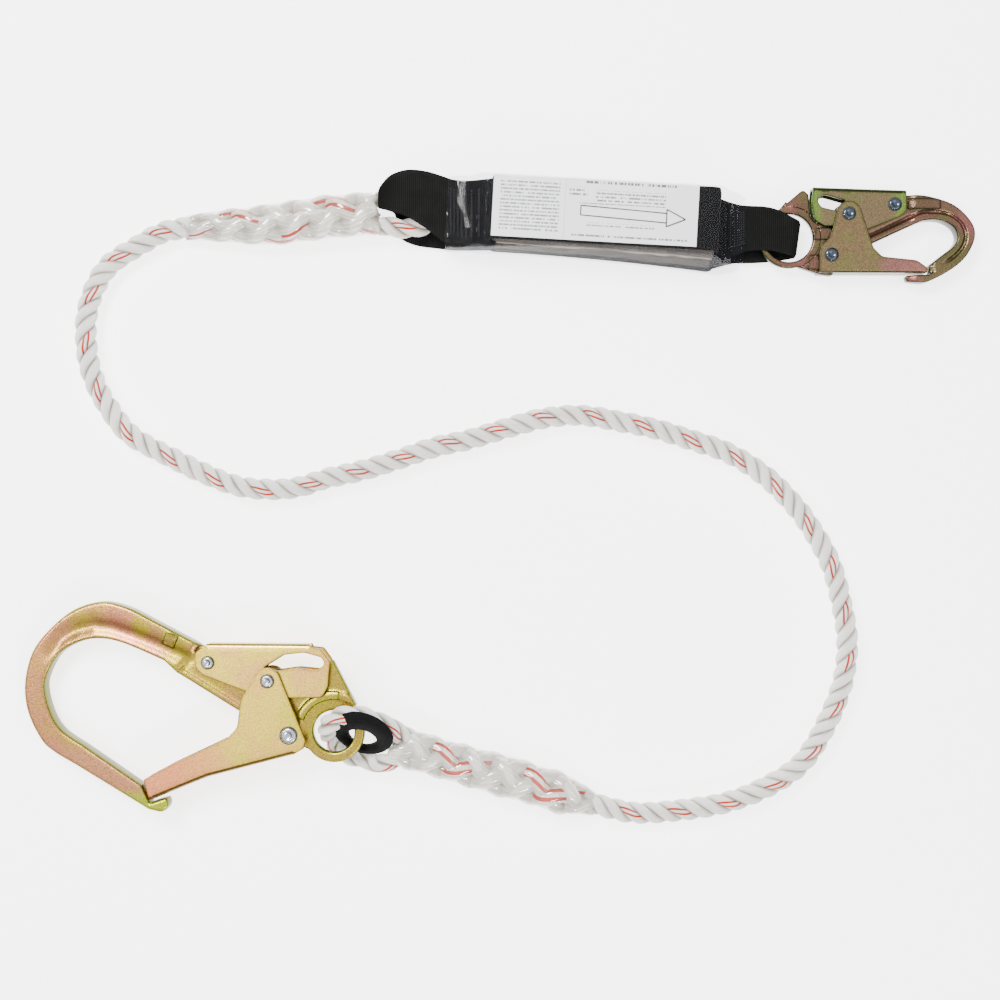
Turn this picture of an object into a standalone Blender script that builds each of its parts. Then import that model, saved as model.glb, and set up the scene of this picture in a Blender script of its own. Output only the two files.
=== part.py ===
"""Shock absorbing lanyard: a rope with spliced eyes, a tear-webbing pack, an anchor hook and a snap hook.

It lies flat on a surface at z = 0. +X runs from the anchor hook to the snap hook, +Z is up.
Outlines are in millimetres and are turned into metres as each piece is made.
"""
import math

import bmesh
import bpy
import numpy as np
from mathutils import Matrix, Vector

MM = 0.001
GAP = 0.3                      # clearance between neighbouring pieces, mm

# Rope
ROPE_D = 14.0
EYE_D = 13.0                   # the eyes are squeezed a little by the shrink film
FLAT = 0.76                    # height of a splice as a share of its width
FILM = 0.4

# Shock pack
PACK_TURN = math.radians(-3.2)
PACK_CENTRE = (67.0, 176.1)
PACK_LENGTH = 147.0
PACK_LOW, PACK_HIGH = 0.8, 32.6
WEBBING_WIDTH = 44.0
WEBBING = 2.0
LEAN = 6.0                     # how far the stack's foot spreads at the hook end

# Anchor hook: local frame u, v, w has its origin at the gate rivet
ANCHOR_RING = (28.1, 2.0)
ANCHOR_RING_AT = (-106.2, -152.6, 22.0)
ANCHOR_TILT = math.radians(-3.9)
ANCHOR_RING_R, ANCHOR_BAR = 16.65, 3.25
ANCHOR_LOCK = (-52.9, 45.7)
ANCHOR_PIN = (-13.8, 34.4)
ANCHOR_GATE_OPEN, ANCHOR_RATIO = 36.0, 1 / 3
ANCHOR_BOW_T, ANCHOR_BODY_T = 14.0, 8.4

# Snap hook: the same frame, at its own gate rivet
SNAP_RING = (-26.5, 11.8)
SNAP_RING_AT = (187.8, 165.8, 8.6)
SNAP_RING_R, SNAP_BAR = 17.7, 2.1
SNAP_LOCK = (41.4, 33.0)
SNAP_PIN = (11.3, 26.7)
SNAP_GATE_OPEN, SNAP_RATIO = 24.0, 0.36
SNAP_BOW_T, SNAP_BODY_T = 10.0, 6.6

SHEET = 1.6                    # hook gates and levers are folded from this sheet
PIN_R = 2.2

# Eye and thimble at the anchor hook's ring
EYE_R = 22.5
EYE_CLIMB, EYE_STEEP, EYE_SHIFT = 16.2, 2.2, 0.17
EYE_TILT = math.radians(42)
EYE_TURN = math.radians(-17)
EYE_OFFSET = 19.2              # eye centre from ring centre, along +X


def clear_scene():
    for obj in list(bpy.data.objects):
        bpy.data.objects.remove(obj, do_unlink=True)


def collection(name):
    made = bpy.data.collections.new(name)
    bpy.context.scene.collection.children.link(made)
    return made


clear_scene()
PARTS = collection("shock_absorbing_lanyard")
CUTTERS = collection("cutters")


def material(name, colour, roughness, metallic=0.0):
    mat = bpy.data.materials.new(name)
    mat.use_nodes = True
    shader = mat.node_tree.nodes["Principled BSDF"]
    shader.inputs["Base Color"].default_value = (*colour, 1)
    shader.inputs["Roughness"].default_value = roughness
    shader.inputs["Metallic"].default_value = metallic
    mat.diffuse_color = (*colour, 1)
    return mat


# ---------------------------------------------------------------- outlines

def arc(centre, radius, start, end, steps=8):
    """Points on an arc, angles in degrees."""
    angles = [math.radians(start + (end - start) * i / steps) for i in range(steps + 1)]
    return [(centre[0] + radius * math.cos(a), centre[1] + radius * math.sin(a)) for a in angles]


def circle(centre, radius, steps=24):
    return arc(centre, radius, 0, 360, steps)[:-1]


def rounded(corners, steps=4):
    """A closed outline from (x, y) or (x, y, fillet radius) corners."""
    made = []
    count = len(corners)
    for i, corner in enumerate(corners):
        here = Vector(corner[:2])
        if len(corner) == 2:
            made.append(tuple(here))
            continue
        back = (Vector(corners[i - 1][:2]) - here).normalized()
        ahead = (Vector(corners[(i + 1) % count][:2]) - here).normalized()
        half = back.angle(ahead) / 2
        middle = here + (back + ahead).normalized() * corner[2] / math.sin(half)
        first = here + back * corner[2] / math.tan(half) - middle
        last = here + ahead * corner[2] / math.tan(half) - middle
        turn = first.angle_signed(last)
        for k in range(steps + 1):
            made.append(tuple(middle + Matrix.Rotation(-turn * k / steps, 2) @ first))
    return made


def smooth(points, steps=4, closed=False):
    """Catmull-Rom curve through the points, of any dimension."""
    p = [np.array(q, float) for q in points]
    n = len(p)
    made = []
    for i in range(n if closed else n - 1):
        a, b = p[i - 1 if closed or i else 0], p[i]
        c = p[(i + 1) % n]
        d = p[(i + 2) % n] if closed or i + 2 < n else p[-1]
        for k in range(steps):
            t = k / steps
            made.append(tuple(0.5 * (2 * b + (c - a) * t + (2 * a - 5 * b + 4 * c - d) * t * t
                                     + (3 * b - a - 3 * c + d) * t ** 3)))
    return made if closed else [*made, tuple(p[-1])]


def spaced(points, step):
    """Points a fixed distance apart along a polyline."""
    p = np.array(points, float)
    along = np.concatenate([[0], np.cumsum(np.linalg.norm(np.diff(p, axis=0), axis=1))])
    at = np.linspace(0, along[-1], max(2, round(along[-1] / step) + 1))
    return np.stack([np.interp(at, along, p[:, k]) for k in range(p.shape[1])], axis=1)


# ---------------------------------------------------------------- solids

def link(obj, mat=None, parent=None, where=PARTS):
    where.objects.link(obj)
    if mat:
        obj.data.materials.clear()
        obj.data.materials.append(mat)
    if parent:
        obj.parent = parent
    return obj


def mesh_of(curve_object, weld=1e-6):
    """A welded mesh from a curve object, which is removed."""
    graph = bpy.context.evaluated_depsgraph_get()
    mesh = bpy.data.meshes.new_from_object(curve_object.evaluated_get(graph))
    bpy.data.objects.remove(curve_object)
    bm = bmesh.new()
    bm.from_mesh(mesh)
    bmesh.ops.remove_doubles(bm, verts=bm.verts, dist=weld)
    bmesh.ops.recalc_face_normals(bm, faces=bm.faces)
    bm.to_mesh(mesh)
    bm.free()
    return mesh


def prism(name, outlines, low, high, bevel=0.0):
    """A mesh object: flat outlines (mm) extruded from low to high. Inner outlines are holes."""
    data = bpy.data.curves.new(name, "CURVE")
    data.dimensions = "2D"
    data.fill_mode = "BOTH"
    data.extrude = (high - low) / 2 * MM - bevel * MM
    data.bevel_depth = bevel * MM
    data.bevel_resolution = 1
    data.offset = -bevel * MM
    data.resolution_u = 1
    data.render_resolution_u = 0
    for outline in outlines:
        spline = data.splines.new("POLY")
        spline.points.add(len(outline) - 1)
        for point, (x, y) in zip(spline.points, outline):
            point.co = (x * MM, y * MM, 0, 1)
        spline.use_cyclic_u = True
    temporary = bpy.data.objects.new(name + "_outline", data)
    bpy.context.scene.collection.objects.link(temporary)
    bpy.context.view_layer.update()
    mesh = mesh_of(temporary)
    mesh.transform(Matrix.Translation((0, 0, (low + high) / 2 * MM)))
    return bpy.data.objects.new(name, mesh)


def tube(name, points, radius, radii=None, caps=True, resolution=2):
    """A round tube curve along points (mm), each with its own share of the radius."""
    data = bpy.data.curves.new(name, "CURVE")
    data.dimensions = "3D"
    data.twist_mode = "MINIMUM"
    data.bevel_depth = radius * MM
    data.bevel_resolution = resolution
    data.use_fill_caps = caps
    data.resolution_u = 1
    data.render_resolution_u = 0
    spline = data.splines.new("POLY")
    spline.points.add(len(points) - 1)
    for i, (point, (x, y, z)) in enumerate(zip(spline.points, points)):
        point.co = (x * MM, y * MM, z * MM, 1)
        point.radius = radii[i] / radius if radii is not None else 1
    return bpy.data.objects.new(name, data)


def flattened(name, points, radii, share, caps):
    """A tube whose sections are share as high as wide, as a mesh."""
    raised = [(x, y, z / share) for x, y, z in points]
    temporary = tube(name + "_curve", raised, 10.0, radii, caps)
    bpy.context.scene.collection.objects.link(temporary)
    bpy.context.view_layer.update()
    mesh = mesh_of(temporary)
    mesh.transform(Matrix.Diagonal((1, 1, share, 1)))
    return bpy.data.objects.new(name, mesh)


def smooth_shade(obj, angle=40):
    obj.data.shade_smooth()
    obj.data.set_sharp_from_angle(angle=math.radians(angle))


def cut(target, cutter, operation="DIFFERENCE"):
    """Booleans the cutter into a target that isn't placed yet, and keeps the result as the target's mesh."""
    CUTTERS.objects.link(cutter)
    CUTTERS.objects.link(target)
    cutter.hide_render = True
    cutter.display_type = "WIRE"
    modifier = target.modifiers.new(operation.lower(), "BOOLEAN")
    modifier.operation = operation
    modifier.object = cutter
    modifier.solver = "EXACT"
    bpy.context.view_layer.update()
    graph = bpy.context.evaluated_depsgraph_get()
    mesh = bpy.data.meshes.new_from_object(target.evaluated_get(graph))
    target.modifiers.clear()
    target.data = mesh
    CUTTERS.objects.unlink(target)
    bpy.data.objects.remove(cutter)


def turned(name, profile, steps=24):
    """A Screw solid about Z. The profile (r, z) runs down its outer side, from the axis back to the axis."""
    mesh = bpy.data.meshes.new(name)
    bm = bmesh.new()
    verts = [bm.verts.new((r * MM, 0, z * MM)) for r, z in profile]
    for a, b in zip(verts, verts[1:]):
        bm.edges.new((a, b))
    if profile[0][0] > 0:
        bm.edges.new((verts[-1], verts[0]))
    bm.to_mesh(mesh)
    bm.free()
    obj = bpy.data.objects.new(name, mesh)
    screw = obj.modifiers.new("screw", "SCREW")
    screw.steps = steps
    screw.render_steps = steps
    screw.use_merge_vertices = True
    screw.merge_threshold = 1e-6
    return obj


def sheet(name, left, right, thickness):
    """A ribbon between two edge lines (mm), given thickness on both sides."""
    mesh = bpy.data.meshes.new(name)
    bm = bmesh.new()
    columns = 3
    rows = []
    for a, b in zip(left, right):
        a, b = Vector(a), Vector(b)
        rows.append([bm.verts.new(a.lerp(b, k / columns) * MM) for k in range(columns + 1)])
    for one, two in zip(rows, rows[1:]):
        for k in range(columns):
            bm.faces.new((one[k], one[k + 1], two[k + 1], two[k]))
    bm.to_mesh(mesh)
    bm.free()
    obj = bpy.data.objects.new(name, mesh)
    solid = obj.modifiers.new("solidify", "SOLIDIFY")
    solid.thickness = thickness * MM
    solid.offset = 0
    return obj


# ---------------------------------------------------------------- rope, eyes, splices, sleeves

ROPE_ROUTE = [
    (-207.2, 172.7, 7.1), (-220.0, 170.0, 7.1), (-236.5, 160.8, 7.1), (-254.5, 149.0, 7.1),
    (-264.2, 134.0, 7.1), (-269.8, 113.8, 7.1), (-268.8, 88.4, 7.1), (-263.6, 70.9, 7.1),
    (-255.8, 56.6, 7.1), (-242.1, 39.0, 7.1), (-221.0, 26.5, 7.1), (-187.2, 10.4, 7.1),
    (-164.5, 3.4, 7.1), (-135.9, 3.0, 7.1), (-112.5, 9.8, 7.1), (-89.1, 15.0, 7.1),
    (-65.7, 22.1, 7.1), (-42.9, 29.9, 7.1), (-19.5, 35.1, 7.1), (4.6, 42.3, 7.1),
    (28.6, 48.8, 7.1), (52.7, 50.7, 7.1), (76.7, 46.8, 7.1), (100.8, 41.9, 7.1),
    (124.8, 34.5, 7.1), (148.9, 26.0, 7.1), (172.9, 11.1, 7.1), (192.4, -8.5, 7.1),
    (203.5, -24.1, 7.1), (212.3, -39.0, 7.1), (218.4, -54.0, 7.1), (223.4, -75.8, 7.1),
    (226.4, -97.0, 7.1), (223.9, -121.8, 7.1), (214.4, -147.3, 7.1), (197.5, -175.2, 7.1),
    (175.0, -191.0, 7.1), (148.2, -201.6, 7.1), (120.0, -206.5, 7.1), (91.0, -208.7, 7.1),
    (72.0, -205.5, 7.1), (64.2, -203.3, 7.1)]

UPPER_SPLICE = [
    (-205.0, 172.9), (-185.0, 173.7), (-154.5, 174.2), (-130.0, 176.8), (-107.0, 179.7), (-81.6, 181.9)]
UPPER_SPLICE_R = [7.3, 9.4, 12.2, 13.0, 13.2, 13.2]

LOWER_SPLICE = [
    (61.5, -202.4), (52.0, -199.8), (39.0, -195.0), (22.8, -189.6), (3.3, -184.0), (-19.5, -177.6),
    (-39.0, -171.8), (-55.0, -166.6)]
LOWER_SPLICE_R = [7.3, 9.4, 12.6, 12.4, 13.0, 12.4, 12.2, 12.4]
LOWER_SPLICE_RISE = [0, 0, 0, 0, 0, 0.4, 2.0, 4.8]     # the eye end is held up by the hook's ring


def splice_line(points, radii, rise):
    """Splice centreline with heights that keep its sleeve just above the floor, smoothed."""
    rows = [(x, y, FLAT * (r + GAP + FILM + 0.3) + 0.5 + lift, r)
            for (x, y), r, lift in zip(points, radii, rise)]
    fine = np.array(smooth(rows, 4))
    return [tuple(row[:3]) for row in fine], fine[:, 3]


def build_rope(mat):
    points = spaced(smooth(ROPE_ROUTE, 8), 25.0)
    link(tube("rope", points, ROPE_D / 2), mat)


def build_splice(prefix, points, radii, rise, rope_mat, film_mat):
    line, sizes = splice_line(points, radii, rise)
    link(flattened(prefix + "_splice", line, sizes, FLAT, True), rope_mat)
    sleeve = flattened(prefix + "_shrink_sleeve", line, sizes + GAP / FLAT, FLAT, False)
    link(sleeve, film_mat)
    solid = sleeve.modifiers.new("solidify", "SOLIDIFY")
    solid.thickness = FILM * MM
    solid.offset = 1
    for obj in (PARTS.objects[prefix + "_splice"], sleeve):
        smooth_shade(obj)


UPPER_EYE = [
    (-78.2, 174.6, 9.6), (-73.0, 173.4, 9.4), (-66.0, 172.3, 9.4), (-56.0, 172.5, 9.4), (-47.5, 175.5, 9.4),
    (-42.0, 181.0, 9.4), (-40.6, 187.5, 9.4), (-43.0, 194.0, 9.4), (-49.5, 198.7, 9.4), (-58.0, 199.6, 9.4),
    (-66.0, 197.3, 9.4), (-73.0, 192.8, 9.5), (-78.2, 190.2, 9.7)]


def lower_eye_frame(unit):
    """The eye's centre and heading, with lengths in millimetres times unit."""
    centre = Vector(ANCHOR_RING_AT) + Vector((EYE_OFFSET, 0.0, 0.0))
    return Matrix.Translation(centre * unit) @ Matrix.Rotation(EYE_TURN, 4, "Z")


def lower_eye_points():
    """The bight climbs steeply through the hook's ring; its two legs flatten and drop to the splice."""
    half = [(29.8, 8.0), (25.6, 10.8), (20.5, 15.2), (14.5, 18.6)]
    bow = [(EYE_R * math.cos(math.radians(a)), EYE_R * math.sin(math.radians(a)))
           for a in range(70, 291, 20)]
    flat = smooth(half + bow + [(a, -b) for a, b in reversed(half)], 2)
    frame = lower_eye_frame(1.0)
    end_height = LOWER_END_Z - ANCHOR_RING_AT[2]
    made = []
    for a, b in flat:
        t = min(max((a - 6.0) / 28.0, 0.0), 1.0)
        t = t * t * (3 - 2 * t)
        steep = EYE_STEEP * (b / EYE_R + EYE_SHIFT)
        climb = EYE_CLIMB * steep / math.sqrt(1 + steep * steep)
        across = b * (math.cos(EYE_TILT) * (1 - t) + t)
        made.append(tuple(frame @ Vector((a, across, climb * (1 - t) + (end_height + b * 0.1) * t))))
    return made


LOWER_END_Z = FLAT * (LOWER_SPLICE_R[-1] + GAP + FILM + 0.3) + 0.5 + LOWER_SPLICE_RISE[-1]


def build_eyes(mat):
    link(tube("upper_eye", spaced(smooth(UPPER_EYE, 4), 5.0), EYE_D / 2), mat)
    link(tube("lower_eye", lower_eye_points(), EYE_D / 2), mat)


def build_thimble(mat):
    """A thick soft ring that flares on both sides, grooved by the rope and notched by the hook's ring."""
    thimble = turned("thimble", [(15.6, 6.6), (18.4, 5.4), (18.8, 3.6), (18.8, -3.6), (18.4, -5.4),
                                 (15.6, -6.6),
                                 (13.0, -5.2), (10.4, -2.4), (9.8, 0.0), (10.4, 2.4), (13.0, 5.2)], 24)
    place = lower_eye_frame(MM) @ Matrix.Rotation(EYE_TILT, 4, "X")
    groove = tube("groove_curve", lower_eye_points(), EYE_D / 2 + GAP)
    CUTTERS.objects.link(groove)
    bpy.context.view_layer.update()
    groove_mesh = mesh_of(groove)
    groove_mesh.transform(place.inverted())
    cut(thimble, bpy.data.objects.new("groove", groove_mesh))
    room, tail = ANCHOR_BAR + 0.4, ANCHOR_BODY_T / 2 + 0.5
    ring = turned("ring_room", [(ANCHOR_RING_R + 9.0, tail + 0.4), (ANCHOR_RING_R + 9.0, 1.0),
                                (ANCHOR_RING_R + room, 1.0),
                                (ANCHOR_RING_R + room, -room), (ANCHOR_RING_R - room, -room),
                                (ANCHOR_RING_R - room, tail + 0.4)], 36)
    ring_at = Matrix.Translation(Vector(ANCHOR_RING_AT) * MM) @ Matrix.Rotation(ANCHOR_TILT, 4, "Y")
    CUTTERS.objects.link(ring)
    bpy.context.view_layer.update()
    ring_mesh = bpy.data.meshes.new_from_object(ring.evaluated_get(bpy.context.evaluated_depsgraph_get()))
    bpy.data.objects.remove(ring)
    ring_mesh.transform(place.inverted() @ ring_at)
    cut(thimble, bpy.data.objects.new("ring_room", ring_mesh))
    link(thimble, mat)
    thimble.matrix_world = place
    smooth_shade(thimble)


# ---------------------------------------------------------------- shock pack

def pack_frame():
    place = Matrix.Translation((PACK_CENTRE[0] * MM, PACK_CENTRE[1] * MM, 0))
    return place @ Matrix.Rotation(PACK_TURN, 4, "Z")


def lean_mesh(mesh):
    """The foot of the stack spreads towards -Y at the hook end."""
    for v in mesh.vertices:
        x = min(max(v.co.x / MM / PACK_LENGTH + 0.5, 0), 1)
        z = min(max(v.co.z / MM / PACK_HIGH, 0), 1)
        v.co.y -= LEAN * MM * x * x * (1 - z)


def block(name, low, high, bevel=0.6):
    """A box between two corners (mm) in the pack's frame, cut into short lengths so that it can lean."""
    mesh = bpy.data.meshes.new(name)
    bm = bmesh.new()
    bmesh.ops.create_cube(bm, size=1.0)
    for v in bm.verts:
        v.co = Vector([(low[k] if v.co[k] < 0 else high[k]) * MM for k in range(3)])
    along = [e for e in bm.edges if abs(e.verts[0].co.x - e.verts[1].co.x) > 1e-6]
    bmesh.ops.subdivide_edges(bm, edges=along, cuts=3)
    bm.to_mesh(mesh)
    bm.free()
    lean_mesh(mesh)
    obj = bpy.data.objects.new(name, mesh)
    if bevel:
        soft = obj.modifiers.new("bevel", "BEVEL")
        soft.width = bevel * MM
        soft.segments = 1
        soft.limit_method = "ANGLE"
    return obj


def place_on_pack(obj, mat):
    link(obj, mat)
    obj.matrix_world = pack_frame()


def build_pack(black, grey, white, film):
    half, wide = PACK_LENGTH / 2, WEBBING_WIDTH / 2
    inset = WEBBING + GAP
    core = block("tear_webbing", (-half + inset, -wide + 0.5, PACK_LOW + inset),
                 (half - inset, wide - 0.5, PACK_HIGH - inset))
    place_on_pack(core, grey)
    wrap = block("wrap_strap", (-half, -wide, PACK_LOW), (half, wide, PACK_HIGH), 0)
    hollow = block("wrap_hollow", (-half + WEBBING, -wide - 20, PACK_LOW + WEBBING),
                   (half - WEBBING, wide + 20, PACK_HIGH - WEBBING), 0)
    cut(wrap, hollow)
    place_on_pack(wrap, black)
    top = PACK_HIGH + GAP
    place_on_pack(block("pack_label", (-72.0, -17.0, top), (60.5, 22.0, top + 0.25), 0), white)
    build_film(film)


FILM_STATIONS = [
    # x, y centre, half width, height, lean share
    (-101.5, -0.6, 22.9, 22.0, 0.0), (-93.0, -0.4, 23.0, 24.4, 0.0), (-84.0, 0.0, 23.2, 28.4, 0.0),
    (-76.0, 0.0, 23.4, 34.0, 0.0), (-71.0, 0.0, 23.4, 34.2, 0.0), (-30.0, 0.0, 23.4, 34.2, 1.0),
    (20.0, 0.0, 23.4, 34.2, 1.0), (71.0, 0.0, 23.4, 34.2, 1.0), (76.0, -2.0, 24.4, 34.0, 0.6),
    (82.0, -2.4, 23.6, 26.4, 0.3), (91.0, -2.4, 22.6, 19.0, 0.0)]


def build_film(mat):
    """Clear shrink cover: rounded rectangular sections lofted along the pack, open at both necks."""
    mesh = bpy.data.meshes.new("pack_film")
    bm = bmesh.new()
    rings = []
    for x, y, wide, high, lean in FILM_STATIONS:
        ring = []
        section = rounded([(-wide, 0, 1.5), (wide, 0, 1.5), (wide, high, 2.5), (-wide, high, 2.5)], 3)
        for across, z in section:
            share = min(max(x / PACK_LENGTH + 0.5, 0), 1)
            shift = LEAN * lean * share * share * (1 - z / high)
            ring.append(bm.verts.new(Vector((x, y + across - shift, z)) * MM))
        rings.append(ring)
    for one, two in zip(rings, rings[1:]):
        for k in range(len(one)):
            m = (k + 1) % len(one)
            bm.faces.new((one[k], two[k], two[m], one[m]))
    bmesh.ops.recalc_face_normals(bm, faces=bm.faces)
    bm.to_mesh(mesh)
    bm.free()
    obj = bpy.data.objects.new("pack_film", mesh)
    solid = obj.modifiers.new("solidify", "SOLIDIFY")
    solid.thickness = FILM * MM
    solid.offset = -1
    place_on_pack(obj, mat)


# Each webbing loop is two edge lines, upper and lower, from the pack's end round the bend and back.
ROPE_LOOP_UPPER = [
    (-8.4, 201.6, 22.0), (-20.0, 201.4, 17.5), (-30.0, 202.0, 17.6), (-38.0, 204.5, 18.2),
    (-48.0, 207.4, 18.4),
    (-60.0, 208.2, 18.4), (-70.0, 205.0, 18.6), (-76.0, 199.0, 19.2), (-78.2, 194.0, 19.8),
    (-75.0, 189.0, 18.6), (-69.5, 187.2, 14.6), (-67.5, 186.8, 9.0), (-66.0, 187.6, 3.6),
    (-61.0, 189.5, 1.4),
    (-50.0, 198.0, 1.3), (-40.0, 201.0, 1.6), (-28.0, 201.4, 2.6), (-8.4, 201.6, 5.0)]
ROPE_LOOP_LOWER = [
    (-8.4, 158.6, 22.0), (-20.0, 158.2, 16.5), (-30.0, 159.4, 17.2), (-38.0, 163.0, 18.0),
    (-48.0, 170.5, 18.3),
    (-60.0, 178.0, 18.3), (-70.0, 181.3, 18.6), (-76.0, 182.6, 19.2), (-78.2, 183.0, 19.8),
    (-75.0, 182.6, 18.4), (-69.5, 181.6, 14.6), (-67.5, 180.6, 9.0), (-67.0, 176.5, 3.0),
    (-66.0, 168.0, 1.4),
    (-56.0, 162.6, 1.3), (-40.0, 160.2, 1.6), (-28.0, 159.0, 2.6), (-8.4, 158.6, 5.0)]

HOOK_LOOP_UPPER = [
    (142.2, 190.8, 16.0), (152.0, 187.4, 13.2), (160.0, 186.2, 13.0), (172.0, 185.6, 13.0),
    (181.0, 183.2, 13.0),
    (189.0, 179.0, 13.0), (193.6, 177.0, 11.2), (194.9, 176.4, 8.4), (193.6, 176.6, 5.4),
    (189.0, 178.0, 3.9),
    (180.0, 180.5, 3.7), (170.0, 182.0, 3.7), (158.0, 183.2, 3.8), (152.0, 184.0, 4.0), (141.6, 188.0, 7.0)]
HOOK_LOOP_LOWER = [
    (141.6, 150.0, 16.0), (152.0, 154.0, 13.2), (160.0, 156.8, 13.0), (172.0, 157.4, 13.0),
    (181.0, 156.0, 13.0),
    (188.0, 154.0, 13.0), (190.9, 153.4, 11.2), (191.6, 153.2, 8.4), (190.9, 153.2, 5.4),
    (187.0, 152.6, 3.9),
    (180.0, 151.6, 3.7), (170.0, 150.6, 3.7), (158.0, 150.2, 3.8), (152.0, 150.0, 4.0), (141.6, 147.0, 7.0)]


def build_loop(name, upper, lower, mat):
    both = smooth([(*a, *b) for a, b in zip(upper, lower)], 2)
    link(sheet(name, [p[:3] for p in both], [p[3:] for p in both], WEBBING), mat)


def build_stitching(name, upper, lower, first, last, mat):
    """A sewn block's thread, lying on the webbing between two of the loop's stations."""
    both = smooth([(*a, *b) for a, b in zip(upper, lower)], 2)[first:last]
    rise = Vector((0, 0, WEBBING / 2 + GAP + 0.35))
    left = [Vector(p[:3]).lerp(Vector(p[3:]), 0.12) + rise for p in both]
    right = [Vector(p[:3]).lerp(Vector(p[3:]), 0.88) + rise for p in both]
    link(sheet(name, left, right, 0.6), mat)


# ---------------------------------------------------------------- hooks

def hook_frame(name, at, ring, tilt):
    """Empty at the gate rivet, placed so that the hook's ring centre is at the given point."""
    turn = Matrix.Rotation(tilt, 4, "Y")
    origin = Vector(at) - turn @ Vector((ring[0], ring[1], 0))
    empty = bpy.data.objects.new(name, None)
    PARTS.objects.link(empty)
    empty.matrix_world = Matrix.Translation(origin * MM) @ turn
    return empty


def pivot(name, at, parent):
    empty = bpy.data.objects.new(name, None)
    PARTS.objects.link(empty)
    empty.parent = parent
    empty.location = (at[0] * MM, at[1] * MM, 0)
    return empty


def drill(target, at, radius, low=-20, high=20):
    cut(target, prism("drill", [circle(at, radius)], low, high))


def folded_sheet(name, outline, cavity, half_height):
    """A U of sheet: the outline at full height, less the space between its two sides."""
    shell = prism(name, [outline], -half_height, half_height)
    cut(shell, prism("cavity", [cavity], -half_height + SHEET, half_height - SHEET))
    return shell


def rivet(name, at, grip, head_r, shank_r, mat, frame, head=1.5):
    """A rivet with a domed, dished head at each end. grip is half the thickness it holds."""
    low = grip + GAP
    top = [(0.0, low + head * 0.55), (head_r * 0.34, low + head * 0.6), (head_r * 0.52, low + head),
           (head_r * 0.82, low + head * 0.72), (head_r, low + 0.15), (head_r, low), (shank_r, low)]
    profile = top + [(r, -z) for r, z in reversed(top)]
    obj = link(turned(name, profile, 12), mat, frame)
    obj.location = (at[0] * MM, at[1] * MM, 0)
    smooth_shade(obj)


def spring(name, at, coil_r, wire_r, height, start, leg, mat, frame):
    """A flat torsion spring: most of a turn round the rivet, with one straight leg at each end."""
    bend = arc(at, coil_r, start, start + 250, 12)
    points = [(x, y, height) for x, y in bend]
    for end, sign in ((0, -1), (-1, 1)):
        x, y, z = points[end]
        a = math.atan2(y - at[1], x - at[0]) + sign * math.pi / 2
        tip = (x + leg * math.cos(a), y + leg * math.sin(a), z)
        points = [tip] + points if end == 0 else points + [tip]
    link(tube(name, points, wire_r, resolution=1), mat, frame)


def turned_about(point, centre, degrees):
    turn = Matrix.Rotation(math.radians(degrees), 2)
    return turn @ (Vector(point) - Vector(centre)) + Vector(centre)


def pin_path(pin, lock, gate_open, ratio, sense, steps=6):
    """Where the gate's pin lies in the lock lever's own frame as the gate opens."""
    made = []
    for i in range(steps + 1):
        gate = sense * gate_open * i / steps
        made.append(turned_about(turned_about(pin, (0, 0), gate), lock, -gate * ratio))
    return made


def slot_outline(path, radius):
    """The outline of a slot of the given radius along the path, with round ends."""
    ahead = [(b - a).normalized() for a, b in zip(path, path[1:])]
    ahead.append(ahead[-1])
    right = [tuple(p + Vector((d.y, -d.x)) * radius) for p, d in zip(path, ahead)]
    left = [tuple(p - Vector((d.y, -d.x)) * radius) for p, d in zip(path, ahead)]
    heading = [math.degrees(math.atan2(d.y, d.x)) for d in (ahead[0], ahead[-1])]
    far = arc(path[-1], radius, heading[1] - 90, heading[1] + 90, 6)[1:-1]
    near = arc(path[0], radius, heading[0] + 90, heading[0] + 270, 6)[1:-1]
    return right + far + left[::-1] + near


ANCHOR_BOW = rounded([
    (-66.5, 61.9),
    *smooth([(-105.2, 80.5), (-122.6, 84.4), (-140.0, 79.6), (-153.0, 69.7), (-169.0, 51.5), (-174.1, 31.2),
             (-171.9, 12.4), (-163.2, -5.1), (-154.5, -13.1)], 2),
    (-92.1, -48.6, 4), (-83.0, -50.6, 3), (-79.0, -41.2, 1.5), (-84.1, -42.6), (-91.2, -45.0),
    (-96.6, -33.6),
    *smooth([(-148.7, 0.7), (-155.9, 10.9), (-160.3, 25.4), (-159.6, 35.6), (-151.6, 50.1), (-138.0, 58.2),
             (-124.0, 60.5), (-108.1, 57.3), (-82.0, 46.5)], 2),
    (-74.5, 39.3)])

ANCHOR_SHANK = rounded([
    (-96.0, 62.0), (-82.0, 46.5), (-73.3, 38.5, 6), (-33.3, 14.5, 20), (-8.4, 6.0, 6), (-8.2, -5.0, 6),
    (0.0, -8.6, 6),
    (8.0, -7.6), (11.6, -7.4), (18.0, -14.8), (34.0, 10.0), (39.0, 18.6), (42.0, 20.6, 1),
    (27.6, 47.9, 1.5), (26.0, 47.2),
    (17.0, 31.6, 4), (2.0, 33.2, 10), (-26.0, 29.0, 8), (-38.0, 41.0, 6), (-44.0, 51.5, 5), (-57.3, 55.6),
    (-70.0, 63.5)])


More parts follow.
